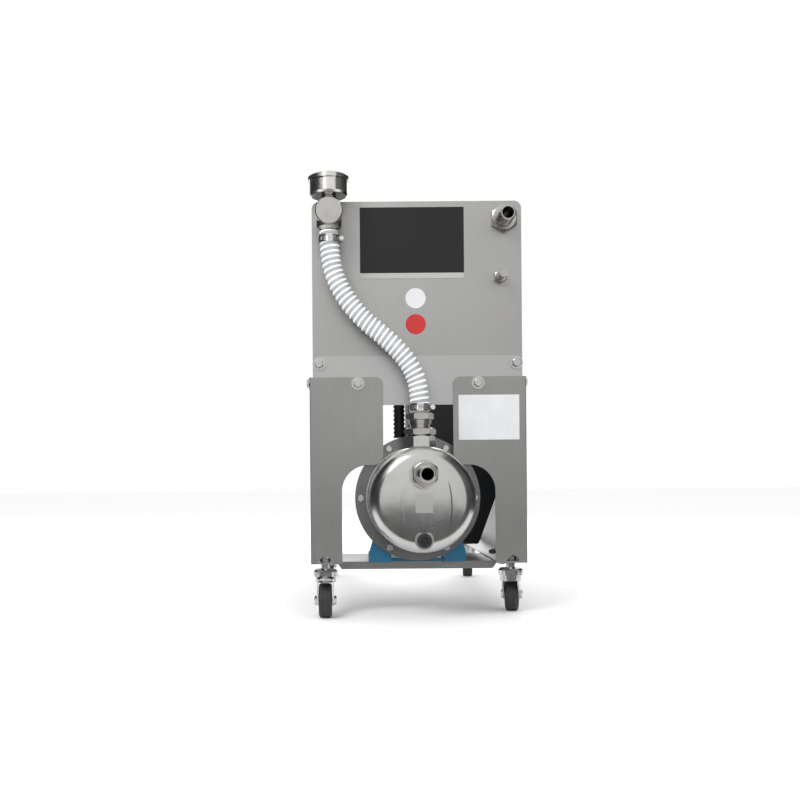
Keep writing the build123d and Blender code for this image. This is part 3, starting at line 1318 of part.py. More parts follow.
with BuildPart() as wheel_shape:
    half = WHEEL_WIDTH / 2
    hub_half = half + HUB_STEP
    turn(
        axle_axis,
        (-hub_half, AXLE_R + FIT),
        (-hub_half, HUB_R),
        (-half, HUB_R),
        (-half, WHEEL_R - TYRE_ROUND),
        (TYRE_ROUND - half, WHEEL_R),
        (half - TYRE_ROUND, WHEEL_R),
        (half, WHEEL_R - TYRE_ROUND),
        (half, HUB_R),
        (hub_half, HUB_R),
        (hub_half, AXLE_R + FIT),
    )

with BuildPart() as lever_shape:
    tube(pivot_axis, -LEVER_WIDTH / 2, LEVER_WIDTH / 2, LEVER_HUB_R)
    with BuildSketch(Plane.XY.offset(LEVER_PIVOT_Z - LEVER / 2)):
        with BuildLine():
            Polyline(
                (-LEVER_WIDTH / 2, LEVER_PIVOT),
                (-LEVER_TIP_WIDTH / 2, LEVER_PIVOT + LEVER_REACH),
                (LEVER_TIP_WIDTH / 2, LEVER_PIVOT + LEVER_REACH),
                (LEVER_WIDTH / 2, LEVER_PIVOT),
                close=True,
            )
        make_face()
    extrude(amount=LEVER)
    tube(pivot_axis, -LEVER_WIDTH / 2, LEVER_WIDTH / 2, LEVER_PIN_R + FIT, mode=Mode.SUBTRACT)

for name in CASTERS:
    with BuildPart() as caster_fork:
        add(place_caster(fork_shape.part, name))
    write(caster_fork, f"{name}_fork")
    with BuildPart() as caster_wheel:
        add(place_caster(wheel_shape.part, name))
    write(caster_wheel, f"{name}_wheel")
    if name.startswith("front"):
        with BuildPart() as brake_lever:
            add(place_caster(lever_shape.part, name))
        write(brake_lever, f"{name}_brake_lever")
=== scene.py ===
# %% [markdown]
# # A wheeled stainless jet pump unit
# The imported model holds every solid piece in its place. This lesson sets it in a bright
# studio, gives each surface a finish made of nodes, and adds the pieces that need finer shapes
# than solid modelling gives: the spiral hose, the threads, the dial and the wheels.

# %% Load the frame
import json
import math

import bpy
import numpy as np
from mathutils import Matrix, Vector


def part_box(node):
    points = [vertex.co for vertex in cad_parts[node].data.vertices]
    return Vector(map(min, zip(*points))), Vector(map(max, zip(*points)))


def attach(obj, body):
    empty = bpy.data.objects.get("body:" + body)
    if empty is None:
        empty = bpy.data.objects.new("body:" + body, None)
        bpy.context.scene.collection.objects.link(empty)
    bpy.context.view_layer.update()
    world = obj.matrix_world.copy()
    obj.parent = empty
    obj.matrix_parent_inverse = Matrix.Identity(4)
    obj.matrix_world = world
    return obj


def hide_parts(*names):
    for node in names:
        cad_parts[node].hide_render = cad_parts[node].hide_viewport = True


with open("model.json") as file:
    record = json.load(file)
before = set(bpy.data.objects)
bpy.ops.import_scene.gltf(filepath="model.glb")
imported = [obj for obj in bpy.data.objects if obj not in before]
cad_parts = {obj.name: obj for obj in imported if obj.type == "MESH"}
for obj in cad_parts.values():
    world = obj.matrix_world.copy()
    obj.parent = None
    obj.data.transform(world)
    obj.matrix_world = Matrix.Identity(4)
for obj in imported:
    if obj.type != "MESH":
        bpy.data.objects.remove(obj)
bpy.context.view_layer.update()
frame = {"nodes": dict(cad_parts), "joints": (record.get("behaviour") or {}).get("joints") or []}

nodes = frame["nodes"]

# %% [markdown]
# ## Camera
# The unit is seen from straight in front, from a little left of its middle and about as high as
# the pump. Shift keeps the upright edges parallel: turning the camera instead would make the
# tall plate lean back. The lens is short enough to show the depth of the casters.

# %% Camera
PANEL_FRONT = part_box("left_side_frame")[0].y
CAMERA_DISTANCE = 1.475
CAMERA_X = -0.1354
CAMERA_HEIGHT = 0.245
CAMERA_ROLL = math.radians(0.45)
camera_data = bpy.data.cameras.new("studio_camera")
camera_data.lens = 39.5
camera_data.sensor_width = 36.0
camera_data.shift_x = 0.0775
camera_data.shift_y = 0.0885
camera = bpy.data.objects.new("studio_camera", camera_data)
bpy.context.scene.collection.objects.link(camera)
camera.location = (CAMERA_X, PANEL_FRONT - CAMERA_DISTANCE, CAMERA_HEIGHT)
camera.rotation_euler = (math.radians(90), CAMERA_ROLL, 0)
bpy.context.scene.camera = camera
print("camera at", tuple(camera.location))

# %% [markdown]
# ## The hose line
# The hose runs from the inlet block down to the pump in one long double bend. Its line is a
# smooth spline held by a few points. An order of three keeps it close to the points, and it
# starts and ends on the first and last of them. The order is set after the points, because
# before that the spline would fall back to straight runs.

# %% Hose line
HOSE_DEPTH = PANEL_FRONT - 0.032
HOSE_ROUTE = [
    (-0.147, 0.638),
    (-0.147, 0.600),
    (-0.1345, 0.551),
    (-0.101, 0.501),
    (-0.047, 0.4565),
    (-0.0155, 0.420),
    (0.0, 0.380),
    (0.0, 0.339),
]


def spline_points(name, route, steps):
    """Points along a NURBS spline of order three through a route's control points."""
    curve = bpy.data.curves.new(name, "CURVE")
    curve.dimensions = "3D"
    spline = curve.splines.new("NURBS")
    spline.points.add(len(route) - 1)
    for point, place in zip(spline.points, route):
        point.co = (*place, 1.0)
    spline.order_u = 3
    spline.use_endpoint_u = True
    spline.resolution_u = steps
    holder = bpy.data.objects.new(name, curve)
    line = bpy.data.meshes.new_from_object(holder)
    points = np.zeros(len(line.vertices) * 3)
    line.vertices.foreach_get("co", points)
    bpy.data.objects.remove(holder)
    bpy.data.curves.remove(curve)
    bpy.data.meshes.remove(line)
    return points.reshape(-1, 3)


hose_line = spline_points("hose_line", [(x, HOSE_DEPTH, z) for x, z in HOSE_ROUTE], 40)
hose_length = float(np.linalg.norm(np.diff(hose_line, axis=0), axis=1).sum())
print("hose line:", len(hose_line), "points,", round(hose_length, 4), "m")

# %% [markdown]
# ## Surfaces from grids
# Every new piece is a grid of points worked out as whole arrays, with quads between
# neighbouring points. A grid that closes both ways, like a ring, has no open edge at all, so
# each piece is a real closed solid and not a paper shell.

# %% Grid helpers
def ring_faces(rows, columns, closed_rows=True):
    """Quads of a grid whose columns join round. Corner (i, j) is vertex i times columns plus j."""
    i = np.arange(rows if closed_rows else rows - 1)[:, None]
    j = np.arange(columns)[None, :]
    i_next, j_next = (i + 1) % rows, (j + 1) % columns
    corners = (i * columns + j, i * columns + j_next, i_next * columns + j_next, i_next * columns + j)
    return np.stack(np.broadcast_arrays(*corners), -1).reshape(-1, 4)


def outward(points, quads, triangles=None):
    """A face list that points outwards. The faces are turned over if the volume they close is
    negative: the sum over triangles of the triple product of their corners."""
    if triangles is None:
        triangles = np.zeros((0, 3), int)
    split = np.concatenate([quads[:, :3], quads[:, [0, 2, 3]], triangles])
    a, b, c = (points[split[:, k]] for k in range(3))
    step = 1 if np.einsum("ij,ij->i", a, np.cross(b, c)).sum() > 0 else -1
    return quads[:, ::step].tolist() + triangles[:, ::step].tolist()


def capped_strip(grid):
    """Points and faces of a grid whose columns join round, closed by a fan at both ends."""
    rows, columns = grid.shape[:2]
    points = np.concatenate([grid.reshape(-1, 3), grid[:1].mean(1), grid[-1:].mean(1)])
    here = np.arange(columns)
    following = (here + 1) % columns
    last_row = (rows - 1) * columns
    first_centre = np.full(columns, rows * columns)
    first_fan = np.stack([following, here, first_centre], -1)
    last_fan = np.stack([here + last_row, following + last_row, first_centre + 1], -1)
    fans = np.concatenate([first_fan, last_fan])
    return points, outward(points, ring_faces(rows, columns, closed_rows=False), fans)


def make_piece(name, points, faces, material, body="unit", sharp_angle=40):
    """A mesh piece at the origin with smooth faces, sharp past an angle, riding on a body."""
    mesh = bpy.data.meshes.new(name)
    mesh.from_pydata(points.tolist(), [], faces)
    mesh.shade_smooth()
    mesh.set_sharp_from_angle(angle=math.radians(sharp_angle))
    mesh.materials.append(material)
    piece = bpy.data.objects.new(name, mesh)
    bpy.context.scene.collection.objects.link(piece)
    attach(piece, body)
    return piece


def frame_of(axis):
    """A unit axis and two unit directions across it, each the cross product of the others."""
    along = np.array(axis, float) / np.linalg.norm(axis)
    helper = np.array((0.0, 0.0, 1.0)) if abs(along[2]) < 0.9 else np.array((0.0, 1.0, 0.0))
    across = np.cross(helper, along)
    across /= np.linalg.norm(across)
    return along, across, np.cross(along, across)


def lathe(distance, radius, centre, axis, columns=96):
    """Points and faces of a closed outline spun about an axis through a centre:
    centre + along * distance + radius * (cosine * across + sine * upward). The distances and
    radii may differ round the axis: each is one value for a row, or one for each column."""
    along, across, upward = frame_of(axis)
    distance = np.array(distance, float).reshape(len(distance), -1)
    radius = np.array(radius, float).reshape(len(radius), -1)
    angle = np.linspace(0, 2 * math.pi, columns, endpoint=False)
    spoke = np.cos(angle)[:, None] * across + np.sin(angle)[:, None] * upward
    distance = np.broadcast_to(distance, (len(distance), columns))
    radius = np.broadcast_to(radius, (len(radius), columns))
    points = np.array(centre) + distance[..., None] * along + radius[..., None] * spoke
    points = points.reshape(-1, 3)
    return points, outward(points, ring_faces(len(distance), columns))


print("grid helpers ready")

# %% [markdown]
# ## Studio
# A pale floor, a white world and three soft lamps. The main lamp stands high on the left and in
# front, so that fittings cast soft shadows down to the right. Polished metal shows only what
# stands round it, and in an all-white room it would look like paper. So dark cards stand on
# both sides and one lies in front. Only reflections see them, and they throw no shadow.

# %% Studio
scene = bpy.context.scene
scene.view_settings.view_transform = "Standard"
world = bpy.data.worlds.new("studio")
world.use_nodes = True
world.node_tree.nodes["Background"].inputs["Color"].default_value = (1.0, 1.0, 1.0, 1.0)
world.node_tree.nodes["Background"].inputs["Strength"].default_value = 1.0
scene.world = world


def soft_lamp(name, place, target, width, watts):
    """A square area lamp at a place, turned to face a target."""
    data = bpy.data.lights.new(name, "AREA")
    data.size = width
    data.energy = watts
    lamp = bpy.data.objects.new(name, data)
    scene.collection.objects.link(lamp)
    lamp.location = place
    direction = np.array(target) - np.array(place)
    yaw = math.atan2(direction[1], direction[0]) - math.pi / 2
    pitch = math.atan2(direction[2], math.hypot(direction[0], direction[1]))
    lamp.rotation_euler = (math.pi / 2 + pitch, 0, yaw)


MIDDLE = (0.0, 0.0, 0.35)
soft_lamp("main_lamp", (-1.4, -1.9, 2.1), MIDDLE, 1.2, 38)
soft_lamp("fill_lamp", (1.9, -1.4, 1.0), MIDDLE, 1.6, 8)
soft_lamp("rear_lamp", (0.4, 2.2, 1.6), MIDDLE, 1.4, 16)


def stage_sheet(name, corners, grey):
    """A flat four-cornered sheet of the studio, matt and of one grey."""
    mesh = bpy.data.meshes.new(name)
    mesh.from_pydata(corners, [], [(0, 1, 2, 3)])
    matt = bpy.data.materials.new(name)
    matt.use_nodes = True
    surface = matt.node_tree.nodes["Principled BSDF"]
    surface.inputs["Base Color"].default_value = (grey, grey, grey, 1.0)
    surface.inputs["Roughness"].default_value = 0.9
    mesh.materials.append(matt)
    sheet = bpy.data.objects.new(name, mesh)
    scene.collection.objects.link(sheet)
    return sheet


def only_reflected(card):
    """Hides a card from everything but reflections."""
    card.visible_camera = False
    card.visible_diffuse = False
    card.visible_shadow = False
    card.visible_transmission = False


def level_corners(low, high, height):
    """The corners of a level rectangle between two (x, y) corners."""
    return [(low[0], low[1], height), (high[0], low[1], height),
            (high[0], high[1], height), (low[0], high[1], height)]


FLOOR_HALF = 9.0
FLOOR_GREY = 0.95
stage_sheet("floor", level_corners((-FLOOR_HALF, -FLOOR_HALF), (FLOOR_HALF, FLOOR_HALF), 0), FLOOR_GREY)

CARD_X = 0.75
CARD_NEAR = -1.3
CARD_FAR = 0.9
CARD_TOP = 1.5
CARD_GREY = 0.02
for name, x in (("left_card", -CARD_X), ("right_card", CARD_X)):
    corners = [(x, CARD_NEAR, 0), (x, CARD_FAR, 0), (x, CARD_FAR, CARD_TOP), (x, CARD_NEAR, CARD_TOP)]
    only_reflected(stage_sheet(name, corners, CARD_GREY))

LOW_CARD_NEAR = -2.6
LOW_CARD_FAR = -0.46
LOW_CARD_LIFT = 0.002
LOW_CARD_GREY = 0.08
low_card_corners = level_corners((-CARD_X, LOW_CARD_NEAR), (CARD_X, LOW_CARD_FAR), LOW_CARD_LIFT)
only_reflected(stage_sheet("low_card", low_card_corners, LOW_CARD_GREY))

# %% [markdown]
# ## Shared effects
# Several finishes need the same small effects: fine lines from brushing, rings from a lathe, a
# moulded grain, and soft patches where hands and cloths have been. Each is a node group made
# once. It reads Object coordinates, so a pattern stays put on its piece, and it puts out only a
# value between 0 and 1. Each material decides what to do with it.

# %% Node helpers
def add_node(tree, kind, operation=None, **inputs):
    """A node of a kind, with an operation if it has one. Named inputs are numbers, colours or
    sockets; a socket is linked."""
    node = tree.nodes.new("ShaderNode" + kind)
    if operation:
        node.operation = operation
    for name, value in inputs.items():
        key = int(name[1:]) if name[0] == "_" else name.replace("_", " ")
        if isinstance(value, bpy.types.NodeSocket):
            tree.links.new(value, node.inputs[key])
        else:
            node.inputs[key].default_value = value
    return node


def effect_group(name, inputs, output):
    """An empty shader group: float or vector inputs as (name, kind, value), and one float output."""
    group = bpy.data.node_groups.new(name, "ShaderNodeTree")
    for label, kind, value in inputs:
        socket = group.interface.new_socket(name=label, in_out="INPUT", socket_type=kind)
        socket.default_value = value
    group.interface.new_socket(name=output, in_out="OUTPUT", socket_type="NodeSocketFloat")
    return group, group.nodes.new("NodeGroupInput"), group.nodes.new("NodeGroupOutput")


FLOAT = "NodeSocketFloat"
VECTOR = "NodeSocketVector"

# %% Brushed lines
brushed_lines, given, result = effect_group(
    "brushed_lines", [("Stretch", VECTOR, (900.0, 900.0, 25.0))], "Lines"
)
place = add_node(brushed_lines, "TexCoord")
stretched = add_node(
    brushed_lines, "VectorMath", "MULTIPLY", _0=place.outputs["Object"], _1=given.outputs["Stretch"]
)
lines = add_node(brushed_lines, "TexNoise", Vector=stretched.outputs[0], Scale=1.0, Detail=3.0)
brushed_lines.links.new(lines.outputs[0], result.inputs["Lines"])

# %% Lathe rings
lathe_rings, given, result = effect_group(
    "lathe_rings",
    [
        ("Centre", VECTOR, (0.0, 0.0, 0.0)),
        ("Axis", VECTOR, (0.0, 1.0, 0.0)),
        ("Rings Per Metre", FLOAT, 1600.0),
    ],
    "Rings",
)
place = add_node(lathe_rings, "TexCoord")
from_centre = add_node(
    lathe_rings, "VectorMath", "SUBTRACT", _0=place.outputs["Object"], _1=given.outputs["Centre"]
)
along = add_node(
    lathe_rings, "VectorMath", "DOT_PRODUCT", _0=from_centre.outputs[0], _1=given.outputs["Axis"]
)
sideways = add_node(
    lathe_rings, "VectorMath", "CROSS_PRODUCT", _0=from_centre.outputs[0], _1=given.outputs["Axis"]
)
away = add_node(lathe_rings, "VectorMath", "LENGTH", _0=sideways.outputs[0])
path = add_node(lathe_rings, "Math", "ADD", _0=along.outputs["Value"], _1=away.outputs["Value"])
count = add_node(
    lathe_rings, "Math", "MULTIPLY", _0=path.outputs[0], _1=given.outputs["Rings Per Metre"]
)
spread = add_node(lathe_rings, "CombineXYZ", X=count.outputs[0])
rings = add_node(lathe_rings, "TexNoise", Vector=spread.outputs[0], Scale=1.0, Detail=2.0)
lathe_rings.links.new(rings.outputs[0], result.inputs["Rings"])

# %% Moulded grain
moulded_grain, given, result = effect_group("moulded_grain", [("Size", FLOAT, 900.0)], "Grain")
place = add_node(moulded_grain, "TexCoord")
cells = add_node(
    moulded_grain, "TexVoronoi", Vector=place.outputs["Object"], Scale=given.outputs["Size"]
)
moulded_grain.links.new(cells.outputs["Distance"], result.inputs["Grain"])

# %% Soft patches
soft_patches, given, result = effect_group("soft_patches", [("Size", FLOAT, 12.0)], "Patches")
place = add_node(soft_patches, "TexCoord")
cloud = add_node(
    soft_patches,
    "TexNoise",
    Vector=place.outputs["Object"],
    Scale=given.outputs["Size"],
    Detail=5.0,
    Roughness=0.6,
)
soft_patches.links.new(cloud.outputs[0], result.inputs["Patches"])
print("effects:", [group.name for group in bpy.data.node_groups])

# %% [markdown]
# ## Finishes
# A finish is a Principled shader with its constants on its own sockets. Its colour and its
# roughness each run between two values, mixed by an effect, and a bump gives the effect a
# little height.

# %% Finish helpers
def start_finish(name, **constants):
    """A new material with a Principled shader that has the given constants."""
    material = bpy.data.materials.new(name)
    material.use_nodes = True
    shader = material.node_tree.nodes["Principled BSDF"]
    for label, value in constants.items():
        shader.inputs[label.replace("_", " ")].default_value = value
    return material, material.node_tree, shader


def effect(tree, group, **inputs):
    """One of the shared effects placed in a material, as its output socket."""
    node = tree.nodes.new("ShaderNodeGroup")
    node.node_tree = group
    for label, value in inputs.items():
        node.inputs[label.replace("_", " ")].default_value = value
    return node.outputs[0]


def between(tree, factor, low, high, factor_low=0.3, factor_high=0.7):
    """A value that runs from low to high as the factor runs between two limits."""
    node = add_node(tree, "MapRange", Value=factor)
    node.inputs["From Min"].default_value = factor_low
    node.inputs["From Max"].default_value = factor_high
    node.inputs["To Min"].default_value = low
    node.inputs["To Max"].default_value = high
    return node.outputs[0]


def mixed(tree, share, first, second):
    """A colour that runs from the first to the second as the share runs from 0 to 1. Each is a
    colour or a socket. A mix node keeps its colours in its inputs 6 and 7."""
    node = add_node(tree, "Mix", _0=share, _6=first, _7=second)
    node.data_type = "RGBA"
    return node.outputs[2]


def tinted(tree, factor, dark, light, factor_low=0.3, factor_high=0.7):
    """A colour that runs from dark to light as the factor runs between two limits."""
    share = between(tree, factor, 0.0, 1.0, factor_low, factor_high)
    return mixed(tree, share, (*dark, 1.0), (*light, 1.0))


def add_bump(tree, shader, height, distance, strength=1.0):
    """Feeds a height to the shader's normal, as deep as the distance in metres."""
    node = add_node(tree, "Bump", Height=height, Distance=distance, Strength=strength)
    tree.links.new(node.outputs[0], shader.inputs["Normal"])


# %% Stainless sheet
def sheet_finish(name, dark, light, stretch):
    """Satin stainless sheet: fine brushed lines over broad faint patches."""
    material, tree, shader = start_finish(name, Metallic=1.0, Anisotropic=0.3)
    lines = effect(tree, brushed_lines, Stretch=stretch)
    patches = effect(tree, soft_patches, Size=6.0)
    both = add_node(tree, "Math", "ADD", _0=lines, _1=patches)
    colour = tinted(tree, both.outputs[0], dark, light, 0.75, 1.25)
    tree.links.new(colour, shader.inputs["Base Color"])
    tree.links.new(between(tree, lines, 0.36, 0.46), shader.inputs["Roughness"])
    add_bump(tree, shader, lines, distance=0.00001, strength=0.3)
    return material


ALONG_HEIGHT = (900.0, 900.0, 25.0)
ALONG_WIDTH = (25.0, 900.0, 900.0)
# The four sheets are one stainless in four tones, set by how light falls on each. The shelf, in the
# shade under the pump, is darkest as painted shade. The legs are darker and the apron lighter than the
# head plate, as painted shade and painted light.
plate_sheet = sheet_finish("plate_sheet", (0.39, 0.385, 0.375), (0.43, 0.425, 0.415), ALONG_HEIGHT)
apron_sheet = sheet_finish("apron_sheet", (0.46, 0.46, 0.455), (0.5, 0.5, 0.495), ALONG_WIDTH)
leg_sheet = sheet_finish("leg_sheet", (0.31, 0.307, 0.302), (0.36, 0.356, 0.35), ALONG_HEIGHT)
shelf_sheet_painted_shade = sheet_finish("shelf_sheet_painted_shade", (0.22, 0.22, 0.22), (0.28, 0.28, 0.28), ALONG_WIDTH)
print("made", plate_sheet.name, apron_sheet.name, leg_sheet.name, shelf_sheet_painted_shade.name)


# %% Turned stainless
def turned_finish(name, node, axis, dark, light, low_roughness, high_roughness):
    """Turned stainless: rings about a node's own axis that change its gloss and its height."""
    low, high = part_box(node)
    material, tree, shader = start_finish(name, Metallic=1.0)
    rings = effect(tree, lathe_rings, Centre=tuple((low + high) / 2), Axis=axis)
    patches = effect(tree, soft_patches, Size=30.0)
    tree.links.new(tinted(tree, patches, dark, light), shader.inputs["Base Color"])
    gloss = between(tree, rings, low_roughness, high_roughness)
    tree.links.new(gloss, shader.inputs["Roughness"])
    add_bump(tree, shader, rings, distance=0.00004, strength=0.6)
    return material


FRONT_TO_BACK = (0.0, 1.0, 0.0)
UPRIGHT = (0.0, 0.0, 1.0)
TURNED_DARK = (0.4, 0.39, 0.37)
TURNED_LIGHT = (0.5, 0.49, 0.47)
turned = {}
for node, axis in (
    ("inlet_block", FRONT_TO_BACK),
    ("outlet_nipple", FRONT_TO_BACK),
    ("vent_body", FRONT_TO_BACK),
    ("inlet_adapter", FRONT_TO_BACK),
    ("union_nut", UPRIGHT),
    ("upper_hose_tail", UPRIGHT),
    ("delivery_header", UPRIGHT),
):
    turned[node] = turned_finish("turned_" + node, node, axis, TURNED_DARK, TURNED_LIGHT, 0.2, 0.36)
bright_stainless = turned_finish(
    "bright_stainless", "gauge_case", UPRIGHT, (0.62, 0.61, 0.59), (0.72, 0.71, 0.69), 0.14, 0.26
)


# %% Pressed and plated steel
def polished_finish(name, dark, light, low_roughness, high_roughness):
    """Pressed and polished steel: faint patches in tone and gloss, with no lines."""
    material, tree, shader = start_finish(name, Metallic=1.0)
    patches = effect(tree, soft_patches, Size=18.0)
    tree.links.new(tinted(tree, patches, dark, light), shader.inputs["Base Color"])
    gloss = between(tree, patches, low_roughness, high_roughness)
    tree.links.new(gloss, shader.inputs["Roughness"])
    add_bump(tree, shader, patches, distance=0.0002, strength=0.2)
    return material


pressed_stainless = polished_finish(
    "pressed_stainless", (0.5, 0.495, 0.485), (0.58, 0.575, 0.565), 0.2, 0.3
)
# The clamp ring and seal plate are stainless painted far darker than the other stainless: painted shade
# and painted dark reflection on the flange.
ring_stainless_painted_dark = polished_finish(
    "ring_stainless_painted_dark", (0.16, 0.16, 0.158), (0.22, 0.22, 0.218), 0.25, 0.38
)
bolt_steel = polished_finish("bolt_steel", (0.44, 0.44, 0.43), (0.54, 0.54, 0.53), 0.2, 0.32)
zinc_chrome = polished_finish("zinc_chrome", (0.52, 0.52, 0.53), (0.66, 0.66, 0.67), 0.1, 0.22)
laminations = polished_finish("laminations", (0.14, 0.13, 0.12), (0.22, 0.2, 0.18), 0.35, 0.5)
motor_aluminium = polished_finish(
    "motor_aluminium", (0.2, 0.205, 0.21), (0.28, 0.285, 0.29), 0.45, 0.6
)
print("made the metals")


# %% Plastics, paint and rubber
def moulded_finish(name, dark, light, grain_size, low_roughness, high_roughness, depth):
    """A moulded or painted skin: a fine grain in the surface and soft changes of gloss."""
    material, tree, shader = start_finish(name, Metallic=0.0)
    grain = effect(tree, moulded_grain, Size=grain_size)
    patches = effect(tree, soft_patches, Size=22.0)
    tree.links.new(tinted(tree, patches, dark, light), shader.inputs["Base Color"])
    gloss = between(tree, patches, low_roughness, high_roughness)
    tree.links.new(gloss, shader.inputs["Roughness"])
    add_bump(tree, shader, grain, distance=depth, strength=0.5)
    return material


black_plastic = moulded_finish(
    "black_plastic", (0.012, 0.012, 0.013), (0.022, 0.022, 0.024), 1200.0, 0.4, 0.55, 0.0001
)
dark_grey_plastic = moulded_finish(
    "dark_grey_plastic", (0.03, 0.033, 0.036), (0.045, 0.048, 0.052), 1100.0, 0.45, 0.6, 0.0001
)
black_enclosure = moulded_finish(
    "black_enclosure", (0.008, 0.011, 0.017), (0.014, 0.018, 0.026), 1000.0, 0.35, 0.5, 0.0001
)
pump_plastic = moulded_finish(
    "pump_plastic", (0.03, 0.03, 0.032), (0.05, 0.05, 0.052), 1000.0, 0.45, 0.6, 0.0001
)
blue_paint = moulded_finish(
    "blue_paint", (0.0, 0.085, 0.17), (0.0, 0.11, 0.21), 500.0, 0.3, 0.42, 0.0002
)
wheel_rubber = moulded_finish(
    "wheel_rubber", (0.012, 0.012, 0.012), (0.026, 0.026, 0.025), 800.0, 0.5, 0.7, 0.0002
)
gasket_rubber = moulded_finish(
    "gasket_rubber", (0.01, 0.01, 0.01), (0.018, 0.018, 0.018), 900.0, 0.6, 0.75, 0.0001
)
print("made the plastics, paint and rubber")

# %% [markdown]
# ## Plates, labels, glass and dial
# The name plate and the labels are bare. A little life still shows on them: the plate has a
# satin surface and a pale line along its lower edge, and the printed films have a faint
# paper tooth. Which label is red follows from its height, so one material serves all three.

# %% Name plate
plate_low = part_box("name_plate")[0]
PLATE_LINE = 0.009
PLATE_LINE_BLUR = 0.0005
PLATE_LINE_COLOUR = (0.36, 0.36, 0.35, 1.0)
name_plate, tree, shader = start_finish("name_plate", Metallic=0.0, Specular_IOR_Level=0.3)
patches = effect(tree, soft_patches, Size=9.0)
grain = effect(tree, moulded_grain, Size=1400.0)
plate_colour = tinted(tree, patches, (0.006, 0.006, 0.007), (0.01, 0.01, 0.011))
place = add_node(tree, "TexCoord")
parts = add_node(tree, "SeparateXYZ", Vector=place.outputs["Object"])
line_top = plate_low.z + PLATE_LINE
above_line = between(tree, parts.outputs["Z"], 0.0, 1.0, line_top, line_top + PLATE_LINE_BLUR)
tree.links.new(mixed(tree, above_line, PLATE_LINE_COLOUR, plate_colour), shader.inputs["Base Color"])
tree.links.new(between(tree, patches, 0.28, 0.4), shader.inputs["Roughness"])
add_bump(tree, shader, grain, distance=0.00005, strength=0.3)

# %% Paper labels
LABEL_LINE_Z = 0.513
LABEL_FOOT_Z = 0.42
paper, tree, shader = start_finish("paper", Metallic=0.0)
patches = effect(tree, soft_patches, Size=40.0)
grain = effect(tree, moulded_grain, Size=2500.0)
place = add_node(tree, "TexCoord")
parts = add_node(tree, "SeparateXYZ", Vector=place.outputs["Object"])
below = add_node(tree, "Math", "LESS_THAN", _0=parts.outputs["Z"], _1=LABEL_LINE_Z)
above = add_node(tree, "Math", "GREATER_THAN", _0=parts.outputs["Z"], _1=LABEL_FOOT_Z)
red_zone = add_node(tree, "Math", "MULTIPLY", _0=below.outputs[0], _1=above.outputs[0])
white_film = tinted(tree, patches, (0.55, 0.56, 0.57), (0.6, 0.61, 0.62))
red_film = tinted(tree, patches, (0.4, 0.012, 0.012), (0.46, 0.016, 0.016))
film = mixed(tree, red_zone.outputs[0], white_film, red_film)
tree.links.new(film, shader.inputs["Base Color"])
tree.links.new(between(tree, patches, 0.35, 0.5), shader.inputs["Roughness"])
add_bump(tree, shader, grain, distance=0.00004, strength=0.3)

# %% Glass and dial
clear_glass, tree, shader = start_finish("clear_glass", IOR=1.45)
shader.inputs["Transmission Weight"].default_value = 1.0
smears = effect(tree, soft_patches, Size=60.0)
tree.links.new(between(tree, smears, 0.02, 0.1), shader.inputs["Roughness"])
tree.links.new(tinted(tree, smears, (0.93, 0.95, 0.95), (1.0, 1.0, 1.0)), shader.inputs["Base Color"])

dial_white = moulded_finish(
    "dial_white", (0.74, 0.74, 0.72), (0.82, 0.82, 0.8), 1800.0, 0.45, 0.6, 0.00005
)
dial_ink = moulded_finish(
    "dial_ink", (0.01, 0.01, 0.01), (0.02, 0.02, 0.02), 1800.0, 0.4, 0.55, 0.00002
)
print("made", name_plate.name, paper.name, clear_glass.name, dial_white.name)

# %% [markdown]
# ## Dressing the solid pieces
# Each solid piece keeps its shape and gets its finish. The sheets were brushed before they were
# folded, so the lines run upright on the plates and legs, and across the unit on the shelf.

# %% Assign finishes
finishes = {
    plate_sheet: ["head_plate"],
    apron_sheet: ["apron_plate"],
    leg_sheet: ["left_side_frame", "right_side_frame"],
    shelf_sheet_painted_shade: ["pump_shelf"],
    bolt_steel: ["frame_bolts", "shelf_bolts", "clamp_bolts", "bearings"],
    name_plate: ["name_plate"],
    paper: ["paper_labels"],
    pressed_stainless: ["pump_body"],
    ring_stainless_painted_dark: ["clamp_ring", "seal_plate"],
    turned["inlet_block"]: ["inlet_block"],
    turned["outlet_nipple"]: ["outlet_nipple", "outlet_locknut"],
    turned["vent_body"]: ["vent_body", "vent_knob"],
    turned["inlet_adapter"]: ["inlet_adapter"],
    turned["union_nut"]: ["union_nut", "lower_hose_tail"],
    turned["upper_hose_tail"]: ["upper_hose_tail"],
    turned["delivery_header"]: ["delivery_header"],
    bright_stainless: ["gauge_case", "gauge_bezel"],
    gasket_rubber: ["gasket"],
    black_plastic: ["drain_plug", "gauge_pointer", "fan", "fan_cover", "cable_gland", "switch_rocker"],
    clear_glass: ["gauge_lens"],
    dial_white: ["gauge_dial"],
    blue_paint: ["lantern", "foot"],
    motor_aluminium: ["motor_frame", "end_shield"],
    laminations: ["stator", "motor_rotor"],
    pump_plastic: ["impeller", "diffuser", "ejector"],
    dark_grey_plastic: ["terminal_box", "terminal_lid"],
    black_enclosure: ["control_box"],
    zinc_chrome: ["caster_stems"],
}
finishes[wheel_rubber] = [name for name in nodes if name.endswith("_wheel")]
finishes[zinc_chrome] += [name for name in nodes if name.endswith(("_fork", "_brake_lever"))]
finishes[bright_stainless] += ["hose_clamps", "hose"]
for material, names in finishes.items():
    for name in names:
        for material_slot in nodes[name].material_slots:
            material_slot.material = material
dressed = {name for names in finishes.values() for name in names}
print("dressed", len(dressed), "pieces; bare:", sorted(set(nodes) - dressed))

